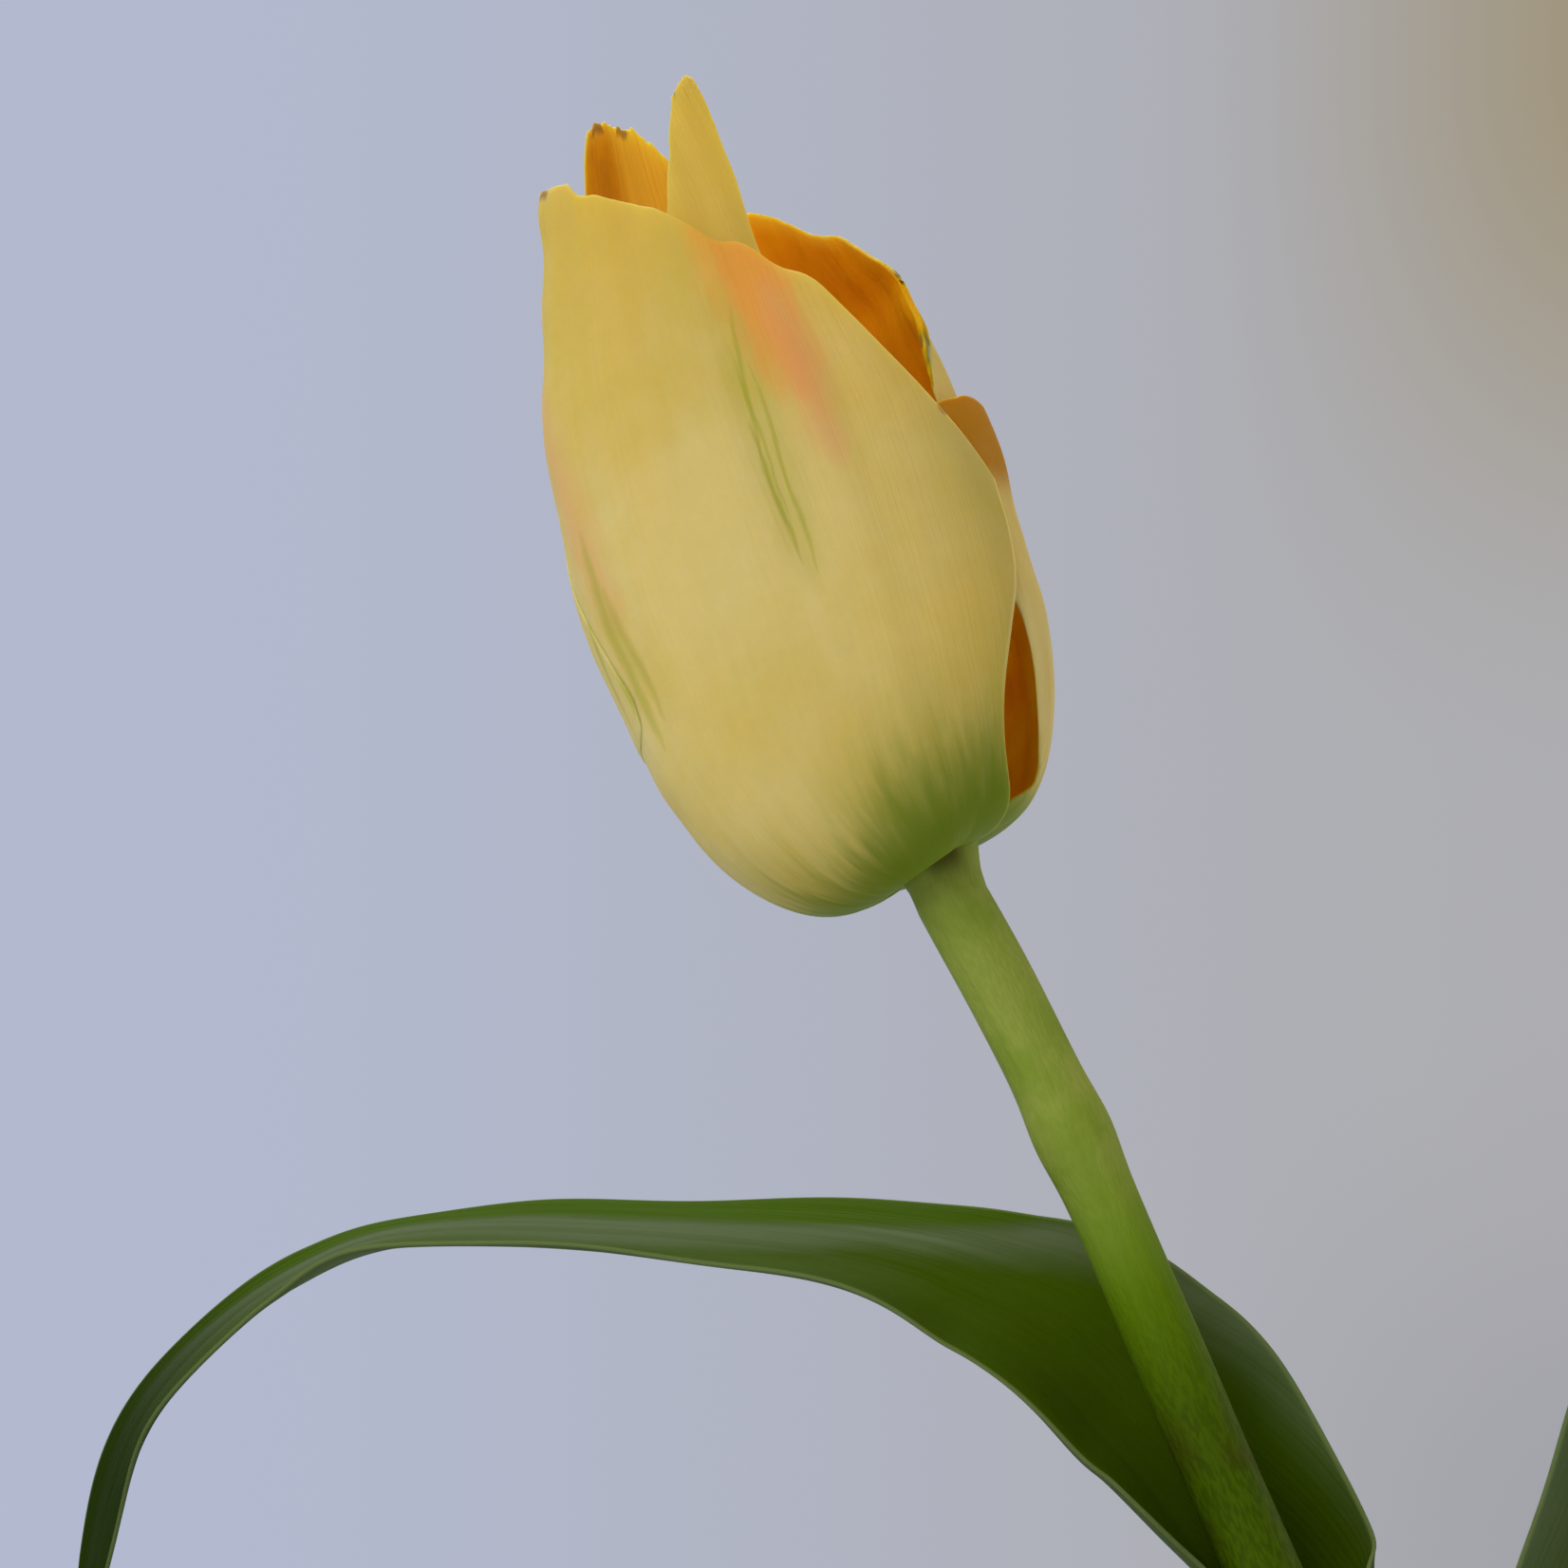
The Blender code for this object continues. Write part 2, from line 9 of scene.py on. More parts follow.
import bpy
import numpy as np
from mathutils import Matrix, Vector


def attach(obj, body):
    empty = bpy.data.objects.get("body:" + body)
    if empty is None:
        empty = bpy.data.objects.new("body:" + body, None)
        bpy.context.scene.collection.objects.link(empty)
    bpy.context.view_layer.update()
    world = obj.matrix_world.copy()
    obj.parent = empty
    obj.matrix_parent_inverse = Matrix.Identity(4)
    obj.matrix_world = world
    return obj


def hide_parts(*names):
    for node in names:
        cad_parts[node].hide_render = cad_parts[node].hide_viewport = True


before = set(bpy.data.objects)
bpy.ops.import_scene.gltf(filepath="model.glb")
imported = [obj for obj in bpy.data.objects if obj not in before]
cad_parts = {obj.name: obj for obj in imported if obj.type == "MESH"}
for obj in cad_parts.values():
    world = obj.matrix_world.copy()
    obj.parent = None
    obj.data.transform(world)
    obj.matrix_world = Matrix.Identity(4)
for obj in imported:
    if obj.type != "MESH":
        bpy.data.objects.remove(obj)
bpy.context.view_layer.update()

MM = 0.001

# Vase and water, as in the frame but for the water's rise at the wall and its two small overlaps
VASE_HEIGHT = 0.122
FOOT_RADIUS = 0.0290
BELLY_HEIGHT, BELLY_RADIUS = 0.042, 0.0385
NECK_HEIGHT, NECK_RADIUS = 0.100, 0.0335
LIP_RADIUS = 0.0350
VASE_WALL = 0.0034
VASE_FLOOR = 0.006
FOOT_ROUNDING = 0.0020
FLOOR_ROUNDING = 0.0070
WATER_LEVEL, WATER_RISE = 0.094, 0.0008
WALL_OVERLAP, STEM_OVERLAP = 0.0001, 0.00004
SEAT_GAP = 0.0003

# Stem, as in the frame, and how much its cut end is rounded off
JOINT = Vector((-0.0775, 0.0, 0.2320))
KINK = JOINT + Vector((0.0110, 0.0, -0.0223))
STEM_RADIUS = 0.0029
LOWER_STEM_RADIUS = 0.0032
KINK_SWELLING = 0.00035
LOWER_LEAN = math.radians(23.5)
CUT_ROUNDING = 0.0004
RECEPTACLE = (
    (-0.0040, 0.0029),
    (-0.0024, 0.0030),
    (-0.0012, 0.0033),
    (-0.0002, 0.0036),
    (0.0006, 0.0036),
    (0.0012, 0.0032),
)

# Bloom, as in the frame
AXIS_TILT_LEFT = math.radians(20.5)
AXIS_TILT_BACK = math.radians(10.0)
CUP_RADIUS = 0.0168
CUP_BELLY = 0.024
CUP_HEIGHT = 0.068
CUP_FULLNESS = 3.2
CUP_CLOSING, CUP_CLOSING_POWER = 0.0094, 2.4
CUP_CLOSING_HEIGHT = 0.041
CUP_THREE_SIDED = 0.065
CUP_FLAT_SIDE = math.radians(-8.0)
CUP_SHIFT, CUP_LOW_SHIFT = -0.0008, -0.0012
CUP_LOW_SHIFT_HEIGHT = 0.006
CUP_DROOP, CUP_DROOP_LEFT = 0.0009, 0.0022
CUP_DROOP_SIDE = math.radians(-60)
CUP_DROOP_FROM, CUP_DROOP_TO = 0.0020, 0.0190

# Fine steps
PETAL_COLUMNS, PETAL_ROWS = 112, 140
LEAF_COLUMNS, LEAF_ROWS = 44, 300
STEM_SIDES, STEM_RINGS = 48, 420
TURNING_STEPS = 128
# In millimetres, what one radian round a stem counts for in its skin's pattern
STEM_PATTERN_RADIUS = 3.0

# Thin living tissue
PETAL_THICKNESS = 0.00052
LEAF_THICKNESS = 0.0007
MARGIN_THINNING = 0.55
PETAL_MARGIN, LEAF_MARGIN_WIDTH = 0.0016, 0.0022
EDGE_WAVE, FOLD_DEPTH = 0.0002, 0.00006
LEAF_KEEL, LEAF_RIB, LEAF_RUFFLE = 0.00035, 0.00005, 0.00018

# Camera: level, facing +Y
CAMERA_DISTANCE = 0.60
FRAME_WIDTH = 0.12515
FRAME_CENTRE = JOINT + Vector((-0.01205, 0.0, 0.00561))
SENSOR = 36.0


# Curves and turned shapes


def running_length(points, axis=0):
    """Length along a route, or along each row or column of a grid of points."""
    step = np.linalg.norm(np.diff(points, axis=axis), axis=-1)
    first = np.zeros_like(np.take(step, [0], axis=axis))
    return np.concatenate([first, np.cumsum(step, axis=axis)], axis=axis)


def smooth_route(points, count):
    """A smooth curve through the points (centripetal Catmull-Rom), read at even steps of its length."""
    pts = np.array([tuple(p) for p in points], float)
    pts = np.vstack([2 * pts[0] - pts[1], pts, 2 * pts[-1] - pts[-2]])
    dense = []
    for p0, p1, p2, p3 in zip(pts, pts[1:], pts[2:], pts[3:]):
        t1 = np.linalg.norm(p1 - p0) ** 0.5
        t2 = t1 + np.linalg.norm(p2 - p1) ** 0.5
        t3 = t2 + np.linalg.norm(p3 - p2) ** 0.5
        for t in np.linspace(t1, t2, 24, endpoint=False):
            a1 = (t1 - t) / t1 * p0 + t / t1 * p1
            a2 = (t2 - t) / (t2 - t1) * p1 + (t - t1) / (t2 - t1) * p2
            a3 = (t3 - t) / (t3 - t2) * p2 + (t - t2) / (t3 - t2) * p3
            b1 = (t2 - t) / t2 * a1 + t / t2 * a2
            b2 = (t3 - t) / (t3 - t1) * a2 + (t - t1) / (t3 - t1) * a3
            dense.append((t2 - t) / (t2 - t1) * b1 + (t - t1) / (t2 - t1) * b2)
    dense = np.array([*dense, pts[-2]])
    along = running_length(dense[:, :3])
    steps = np.linspace(0, along[-1], count)
    return np.column_stack([np.interp(steps, along, column) for column in dense.T])


def smooth_step(values, low, high):
    t = np.clip((values - low) / (high - low), 0.0, 1.0)
    return t * t * (3 - 2 * t)


def bell(values, middle, width):
    return np.exp(-(((values - middle) / width) ** 2))


def unit(vectors):
    return vectors / np.maximum(np.linalg.norm(vectors, axis=-1, keepdims=True), 1e-12)


def vase_outer(heights):
    """Outer radius of the vase at these heights: foot, belly, neck and lip joined smoothly."""
    knots = (
        (FOOT_RADIUS, 0.0),
        (BELLY_RADIUS, BELLY_HEIGHT),
        (NECK_RADIUS, NECK_HEIGHT),
        (LIP_RADIUS, VASE_HEIGHT),
    )
    route = smooth_route(knots, 200)
    return np.interp(heights, route[:, 1], route[:, 0])


def arc(centre_r, centre_z, radius, start, end, count):
    """Points (radius, height) on part of a circle, angles measured from straight out."""
    turns = np.radians(np.linspace(start, end, count))
    return [(centre_r + radius * math.cos(t), centre_z + radius * math.sin(t)) for t in turns]


# Meshes


def new_object(name, data):
    obj = bpy.data.objects.new(name, data)
    bpy.context.scene.collection.objects.link(obj)
    return obj


def add_field(mesh, name, vectors):
    layer = mesh.attributes.new(name, "FLOAT_VECTOR", "POINT")
    layer.data.foreach_set("vector", np.asarray(vectors, dtype=np.float32).ravel())


def mesh_object(name, vertices, faces, **fields):
    """An object from points and faces, with a vector field for each name, shaded smooth."""
    mesh = bpy.data.meshes.new(name)
    mesh.from_pydata(np.asarray(vertices).tolist(), [], faces)
    for field, vectors in fields.items():
        add_field(mesh, field, vectors)
    mesh.update()
    mesh.shade_smooth()
    return new_object(name, mesh)


def keep_modifiers(obj):
    """Makes what an object's modifiers do its own mesh, shaded smooth."""
    bpy.context.view_layer.update()
    obj.data = bpy.data.meshes.new_from_object(obj.evaluated_get(bpy.context.evaluated_depsgraph_get()))
    obj.modifiers.clear()
    obj.data.shade_smooth()


def turned(name, profile, uneven=None, start=0.0):
    """A solid turned round +Z from a profile that starts and ends on the axis, inner side first.

    Uneven gives what the radius gains at these turns, radius and height.
    """
    profile = np.array(profile)
    inner = profile[1:-1]
    turns = start + np.linspace(0, 2 * math.pi, TURNING_STEPS, endpoint=False)
    rings = []
    for radius, height in inner:
        r = radius if uneven is None else radius + uneven(turns, radius, height)
        rings.append(np.column_stack([r * np.cos(turns), r * np.sin(turns), np.full_like(turns, height)]))
    count = len(inner)
    vertices = np.vstack([[(0, 0, profile[0][1])], *rings, [(0, 0, profile[-1][1])]])
    last = len(vertices) - 1
    faces = []
    for k in range(TURNING_STEPS):
        after = (k + 1) % TURNING_STEPS
        faces.append((0, 1 + k, 1 + after))
        for ring in range(count - 1):
            low, high = 1 + ring * TURNING_STEPS, 1 + (ring + 1) * TURNING_STEPS
            faces.append((low + k, high + k, high + after, low + after))
        low = 1 + (count - 1) * TURNING_STEPS
        faces.append((low + k, last, low + after))
    return mesh_object(name, vertices, faces)


def blade(name, middle, thickness, place, rim, depth):
    """A closed thin blade round a grid of middle points: outer face, inner face and a rounded rim.

    Place, rim and depth are vector fields over the grid. The third part of depth is 0 on the outer face and 1
    on the inner one.
    """
    rows, columns = middle.shape[:2]
    across = np.gradient(middle, axis=1)
    upward = np.gradient(middle, axis=0)
    out = unit(np.cross(across, upward))
    half = thickness[..., None] / 2
    outer = (middle + out * half).reshape(-1, 3)
    inner = (middle - out * half).reshape(-1, 3)
    index = np.arange(rows * columns).reshape(rows, columns)
    loop = np.concatenate([index[0, :-1], index[:-1, -1], index[-1, :0:-1], index[:0:-1, 0]])
    push = np.zeros_like(middle)
    push[:, 0] -= unit(across[:, 0])
    push[:, -1] += unit(across[:, -1])
    push[0] -= unit(upward[0])
    push[-1] += unit(upward[-1])
    rounded = (middle + unit(push) * thickness[..., None] * 0.4).reshape(-1, 3)[loop]
    size = rows * columns
    quads = np.stack([index[:-1, :-1], index[:-1, 1:], index[1:, 1:], index[1:, :-1]], axis=-1).reshape(-1, 4)
    ring = np.arange(len(loop)) + 2 * size
    after = np.roll(np.arange(len(loop)), -1)
    outer_rim = np.column_stack([loop, ring, ring[after], loop[after]])
    inner_rim = np.column_stack([ring, loop + size, loop[after] + size, ring[after]])
    faces = np.vstack([quads, quads[:, ::-1] + size, outer_rim, inner_rim]).tolist()
    vertices = np.vstack([outer, inner, rounded])

    def both(field, inside=0.0):
        """The field for both faces and the rim. Inside is what the inner face adds to its third part."""
        flat = field.reshape(-1, 3)
        return np.vstack([flat, flat + (0.0, 0.0, inside), flat[loop]])

    return mesh_object(name, vertices, faces, place=both(place), rim=both(rim), depth=both(depth, 1.0))


def round_body(name, route, radii, sides, relief=None):
    """A closed round tube along a route, its ends closed with fans.

    Its place field holds millimetres round it, along it and above the table. Relief gives what the radius
    gains at these turns, at this length along the route and at this point.
    """
    route = np.asarray(route, float)
    radii = np.asarray(radii, float)
    forward = unit(np.gradient(route, axis=0))
    side = unit(np.cross(forward[0], (0.0, 1.0, 0.0)))
    along = running_length(route)
    turns = np.linspace(0, 2 * math.pi, sides, endpoint=False)
    ones = np.ones(sides)
    vertices, place = [], []
    for k, (point, ahead, radius) in enumerate(zip(route, forward, radii)):
        side = unit(side - ahead * np.dot(side, ahead))
        other = np.cross(ahead, side)
        r = radius if relief is None else radius + relief(turns, along[k], point)
        ring = point + np.outer(np.cos(turns) * r, side) + np.outer(np.sin(turns) * r, other)
        vertices.append(ring)
        around = turns * STEM_PATTERN_RADIUS
        place.append(np.column_stack([around, ones * along[k] / MM, ones * point[2] / MM]))
    vertices = np.vstack([*vertices, route[0], route[-1]])
    place = np.vstack([*place, (0, 0, route[0][2] / MM), (0, along[-1] / MM, route[-1][2] / MM)])
    rings = len(route)
    bottom, top = rings * sides, rings * sides + 1
    faces = []
    for k in range(sides):
        after = (k + 1) % sides
        faces.append((bottom, after, k))
        faces.append((top, (rings - 1) * sides + k, (rings - 1) * sides + after))
    start = np.arange(rings - 1)[:, None] * sides
    here, after = np.arange(sides)[None], (np.arange(sides)[None] + 1) % sides
    quads = np.stack([start + here, start + after, start + sides + after, start + sides + here], axis=-1)
    faces.extend(quads.reshape(-1, 4).tolist())
    return mesh_object(name, vertices, faces, place=place)


# Node trees


class Nodes:
    """Short calls that build one node tree."""

    def __init__(self, tree):
        self.tree = tree

    def add(self, kind, inputs=None, **settings):
        """A node with these settings, each input linked to a socket or set to a value."""
        node = self.tree.nodes.new(kind)
        for name, value in settings.items():
            setattr(node, name, value)
        for key, value in (inputs or {}).items():
            if isinstance(value, bpy.types.NodeSocket):
                self.tree.links.new(value, node.inputs[key])
            else:
                node.inputs[key].default_value = value
        return node

    def math(self, operation, a, b=0.0, clamp=False):
        return self.add("ShaderNodeMath", {0: a, 1: b}, operation=operation, use_clamp=clamp).outputs[0]

    def times(self, a, b):
        return self.math("MULTIPLY", a, b)

    def plus(self, a, b):
        return self.math("ADD", a, b)

    def sway(self, noise, amount):
        """A shift to either side, as the noise lies over or under one half."""
        return self.times(self.math("SUBTRACT", noise, 0.5), amount)

    def vector(self, operation, a, b=(0.0, 0.0, 0.0)):
        node = self.add("ShaderNodeVectorMath", {0: a, 1: b}, operation=operation)
        return node.outputs["Value" if operation in ("DOT_PRODUCT", "LENGTH") else "Vector"]

    def scaled(self, vector, factor):
        inputs = {0: vector, "Scale": factor}
        return self.add("ShaderNodeVectorMath", inputs, operation="SCALE").outputs["Vector"]

    def fade(self, value, start, end, low=0.0, high=1.0, kind="SMOOTHSTEP"):
        """A smooth change from low at start to high at end."""
        inputs = {"Value": value, "From Min": start, "From Max": end, "To Min": low, "To Max": high}
        return self.add("ShaderNodeMapRange", inputs, interpolation_type=kind).outputs["Result"]

    def mix(self, factor, a, b):
        a, b = ((*colour, 1.0) if isinstance(colour, tuple) else colour for colour in (a, b))
        return self.add("ShaderNodeMix", {0: factor, 6: a, 7: b}, data_type="RGBA").outputs[2]

    def tint(self, colour, other, mask, strength):
        """The colour, turned towards another one where the mask is on."""
        return self.mix(self.times(mask, strength), colour, other)

    def noise(self, where, scale, detail=2.0, roughness=0.5):
        inputs = {"Vector": where, "Scale": scale, "Detail": detail, "Roughness": roughness}
        return self.add("ShaderNodeTexNoise", inputs, noise_dimensions="3D").outputs["Fac"]

    def field(self, name):
        node = self.add("ShaderNodeAttribute", attribute_type="GEOMETRY", attribute_name=name)
        return node.outputs["Vector"]

    def position(self):
        return self.add("ShaderNodeNewGeometry").outputs["Position"]

    def split(self, vector):
        return self.add("ShaderNodeSeparateXYZ", {0: vector}).outputs

    def join(self, x=0.0, y=0.0, z=0.0):
        return self.add("ShaderNodeCombineXYZ", {0: x, 1: y, 2: z}).outputs[0]

    def relief(self, height, strength, distance):
        inputs = {"Height": height, "Strength": strength, "Distance": distance}
        return self.add("ShaderNodeBump", inputs).outputs["Normal"]

    def use(self, group, **inputs):
        return self.add("ShaderNodeGroup", inputs, node_tree=group).outputs


def new_group(name, inputs, outputs):
    """A shader node group with named sockets: the group, its nodes and what it is given."""
    group = bpy.data.node_groups.new(name, "ShaderNodeTree")
    for label, kind in inputs.items():
        group.interface.new_socket(label, in_out="INPUT", socket_type="NodeSocket" + kind)
    for label in outputs:
        group.interface.new_socket(label, in_out="OUTPUT", socket_type="NodeSocketFloat")
    nodes = Nodes(group)
    return group, nodes, nodes.add("NodeGroupInput").outputs


def vein_group():
    """Lines that run along a blade, fine and broad ones."""
    inputs = {"Place": "Vector", "Spacing": "Float", "Stretch": "Float", "Wander": "Float"}
    group, nodes, given = new_group("veins", inputs, ("Lines", "Broad"))
    x, y, z = nodes.split(given["Place"])
    slow = nodes.noise(nodes.join(nodes.times(x, 0.10), nodes.times(y, 0.05), 3.0), 1.0)
    across = nodes.math("DIVIDE", nodes.plus(x, nodes.sway(slow, given["Wander"])), given["Spacing"])
    along = nodes.math("DIVIDE", y, given["Stretch"])
    fine = nodes.noise(nodes.join(across, along, z), 1.0, detail=1.0)
    wide = nodes.noise(nodes.join(nodes.times(across, 0.28), along, 7.0), 1.0, detail=1.0)
    lines, broad = nodes.fade(fine, 0.38, 0.62), nodes.fade(wide, 0.36, 0.64)
    nodes.add("NodeGroupOutput", {"Lines": lines, "Broad": broad})
    return group


def patch_group():
    """Soft uneven patches between two levels."""
    inputs = {"Place": "Vector", "Size": "Float", "Contrast": "Float"}
    group, nodes, given = new_group("soft patches", inputs, ("Patch",))
    where = nodes.scaled(given["Place"], nodes.math("DIVIDE", 1.0, given["Size"]))
    cloud = nodes.noise(where, 1.0, detail=3.0, roughness=0.55)
    patch = nodes.math("ADD", nodes.sway(cloud, given["Contrast"]), 0.5, clamp=True)
    nodes.add("NodeGroupOutput", {"Patch": patch})
    return group


def streak_group():
    """A soft brush-like streak between two places of a blade, weaker and narrower towards its ends."""
    inputs = {"Place": "Vector", "Start": "Vector", "End": "Vector", "Width": "Float", "Ragged": "Float"}
    group, nodes, given = new_group("streak", inputs, ("Mask",))
    x, y, _ = nodes.split(given["Place"])
    cloud = nodes.noise(nodes.join(nodes.times(x, 0.9), nodes.times(y, 0.22), 1.0), 1.0)
    shaken = nodes.join(nodes.plus(x, nodes.sway(cloud, given["Ragged"])), y)
    reach = nodes.vector("SUBTRACT", given["End"], given["Start"])
    from_start = nodes.vector("SUBTRACT", shaken, given["Start"])
    forward = nodes.vector("DOT_PRODUCT", from_start, reach)
    share = nodes.math("DIVIDE", forward, nodes.vector("DOT_PRODUCT", reach, reach), clamp=True)
    away = nodes.vector("LENGTH", nodes.vector("SUBTRACT", from_start, nodes.scaled(reach, share)))
    ends = nodes.times(nodes.times(share, nodes.math("SUBTRACT", 1.0, share)), 4.0)
    taper = nodes.plus(nodes.times(nodes.math("POWER", ends, 0.5), 0.75), 0.25)
    mask = nodes.fade(away, nodes.times(given["Width"], taper), 0.0)
    nodes.add("NodeGroupOutput", {"Mask": nodes.times(mask, taper)})
    return group


VEINS = vein_group()
PATCHES = patch_group()
STREAK = streak_group()


def new_material(name):
    made = bpy.data.materials.new(name)
    made.use_nodes = True
    made.node_tree.nodes.clear()
    return made, Nodes(made.node_tree)


def finish_material(made, nodes, **inputs):
    """Ends a material with its shader. In the inputs' names, _ stands for a blank."""
    named = {key.replace("_", " "): value for key, value in inputs.items()}
    shader = nodes.add("ShaderNodeBsdfPrincipled", named)
    nodes.add("ShaderNodeOutputMaterial", {"Surface": shader.outputs[0]})
    return made


# Colours are linear
PETAL_PALE = (0.67, 0.53, 0.20)
PETAL_YELLOW = (0.63, 0.465, 0.120)
PETAL_GOLD = (0.53, 0.370, 0.042)
# Olive gold painted on a petal's right side as shade, where the cup turns from the light
PETAL_PAINTED_SHADE = (0.36, 0.29, 0.020)
PETAL_ORANGE = (0.78, 0.38, 0.003)
PETAL_DEEP_ORANGE = (0.64, 0.26, 0.002)
# The inside orange darkened as painted shade, for an inner face that lies in shade
PETAL_SHADED_ORANGE = (0.42, 0.175, 0.002)
PETAL_OCHRE = (0.78, 0.48, 0.040)
# Painted light: a bright inside that stands for light shining through the petal from behind
PETAL_PAINTED_GLOW = (0.96, 0.66, 0.012)
PETAL_GREEN = (0.125, 0.205, 0.003)
VEIN_GREEN = (0.33, 0.32, 0.025)
PETAL_LIP = (0.42, 0.180, 0.002)
BLUSH = (0.72, 0.30, 0.045)
BLUSH_PINK = (0.70, 0.31, 0.13)
DRY_BROWN = (0.16, 0.085, 0.03)


def round_mm(degrees):
    """Millimetres round the cup for an angle from its front."""
    return np.radians(degrees) * CUP_RADIUS / MM


def petal_skin(name, streaks=(), dry=(), green=(13.0, 13.0), pale_rims=(0.0, 0.0, 0.0), ochre=None,
               shade=0.0, inside_colour=PETAL_DEEP_ORANGE, lip=None):
    """Petal tissue: yellow outside with a green root, orange inside, with veins, streaks and dry tips.

    A spot is (degrees round the bloom, millimetres up it). Each streak is (start, end, width, raggedness,
    colour, strength), and each dry place (spot, size). Green gives how far up the cup's curve the green root
    reaches, at the petal's left and at its right. Pale rims are the widths of the pale margins at the left,
    right and top. Ochre gives the degrees between which the inside turns paler, and shade how strongly the
    right side, which turns from the light, is painted darker as shade. Lip gives the height above which, and
    the degrees up to which, the outside is orange.
    """
    made, nodes = new_material(name)
    place = nodes.field("place")
    x, y, _ = nodes.split(place)
    rims = nodes.split(nodes.field("rim"))
    rim_top = rims[2]
    arc_length, _, inside = nodes.split(nodes.field("depth"))
    veins = nodes.use(VEINS, Place=place, Spacing=0.42, Stretch=22.0, Wander=2.0)
    patches = nodes.use(PATCHES, Place=place, Size=9.0, Contrast=2.2)["Patch"]
    fine_patches = nodes.use(PATCHES, Place=place, Size=2.4, Contrast=1.8)["Patch"]

    outside = nodes.mix(patches, PETAL_YELLOW, PETAL_PALE)
    outside = nodes.mix(nodes.fade(y, 26.0, 60.0, 0.0, 0.80), outside, PETAL_GOLD)
    outside = nodes.tint(outside, PETAL_GOLD, veins["Broad"], 0.12)
    outside = nodes.tint(outside, VEIN_GREEN, fine_patches, 0.12)
    # Painted shade: the right side darkened towards olive gold, where the cup turns from the light
    outside = nodes.mix(nodes.fade(x, 6.0, 18.0, 0.0, shade), outside, PETAL_PAINTED_SHADE)
    for start, end, width, ragged, colour, strength in streaks:
        start, end = ((round_mm(degrees), height, 0.0) for degrees, height in (start, end))
        mask = nodes.use(STREAK, Place=place, Start=start, End=end, Width=width, Ragged=ragged)["Mask"]
        outside = nodes.tint(outside, colour, mask, strength)
    for distance, width in zip(rims, pale_rims):
        if width:
            outside = nodes.mix(nodes.fade(distance, width, width * 0.25, 0.0, 0.75), outside, PETAL_PALE)
    if lip:
        low, last = lip[0], round_mm(lip[1])
        turned_out = nodes.times(nodes.fade(y, low - 3.0, low + 1.0), nodes.fade(x, last + 2.5, last - 2.5))
        outside = nodes.mix(turned_out, outside, PETAL_LIP)

    gone = nodes.fade(x, -10.0, 3.0, *green)
    root_lines = nodes.noise(nodes.join(x, nodes.times(arc_length, 0.20), 5.0), 0.9, detail=3.0)
    reach = nodes.plus(arc_length, nodes.sway(root_lines, 6.0))
    root = nodes.fade(reach, gone, nodes.times(gone, 0.38))
    root_colour = nodes.mix(nodes.fade(root, 0.25, 0.85), VEIN_GREEN, PETAL_GREEN)
    outside = nodes.tint(outside, root_colour, root, 0.94)

    within = nodes.mix(patches, PETAL_ORANGE, inside_colour)
    if ochre:
        within = nodes.mix(nodes.fade(x, *map(round_mm, ochre), 0.0, 0.9), within, PETAL_OCHRE)
    within = nodes.tint(within, inside_colour, veins["Lines"], 0.15)
    within = nodes.mix(nodes.fade(rim_top, 2.2, 0.0, 0.0, 0.35), within, PETAL_OCHRE)
    colour = nodes.mix(inside, outside, within)
    crumbs = nodes.noise(nodes.join(x, y, 2.0), 1.7, detail=2.0)
    for (degrees, height), size in dry:
        spot = (round_mm(degrees), height, 0.0)
        away = nodes.vector("LENGTH", nodes.vector("SUBTRACT", nodes.join(x, y), spot))
        away = nodes.plus(away, nodes.sway(crumbs, size))
        mask = nodes.times(nodes.fade(away, size, size * 0.5), nodes.fade(rim_top, 1.1, 0.3))
        colour = nodes.tint(colour, DRY_BROWN, mask, 0.75)

    height = nodes.plus(nodes.times(veins["Lines"], 0.6), nodes.times(crumbs, 0.5))
    return finish_material(
        made,
        nodes,
        Base_Color=colour,
        Roughness=nodes.fade(fine_patches, 0.2, 0.8, 0.48, 0.62),
        Normal=nodes.relief(height, 0.22, 0.00012),
        Subsurface_Weight=0.75,
        Subsurface_Radius=(0.0030, 0.0022, 0.0006),
        Subsurface_Scale=0.5,
        Specular_IOR_Level=0.05,
    )


LEAF_GREEN = (0.038, 0.066, 0.0006)
LEAF_BRIGHT = (0.050, 0.100, 0.0010)
# Pale grey-green: real wax on the outer face, and painted sheen in a band along the leaf
LEAF_WAX_AND_SHEEN = (0.112, 0.143, 0.072)
# Dark green: painted shade at every leaf's tip, and the darker tone that dull gives the rest
LEAF_DARK = (0.012, 0.024, 0.0030)
LEAF_MARGIN = (0.20, 0.25, 0.09)


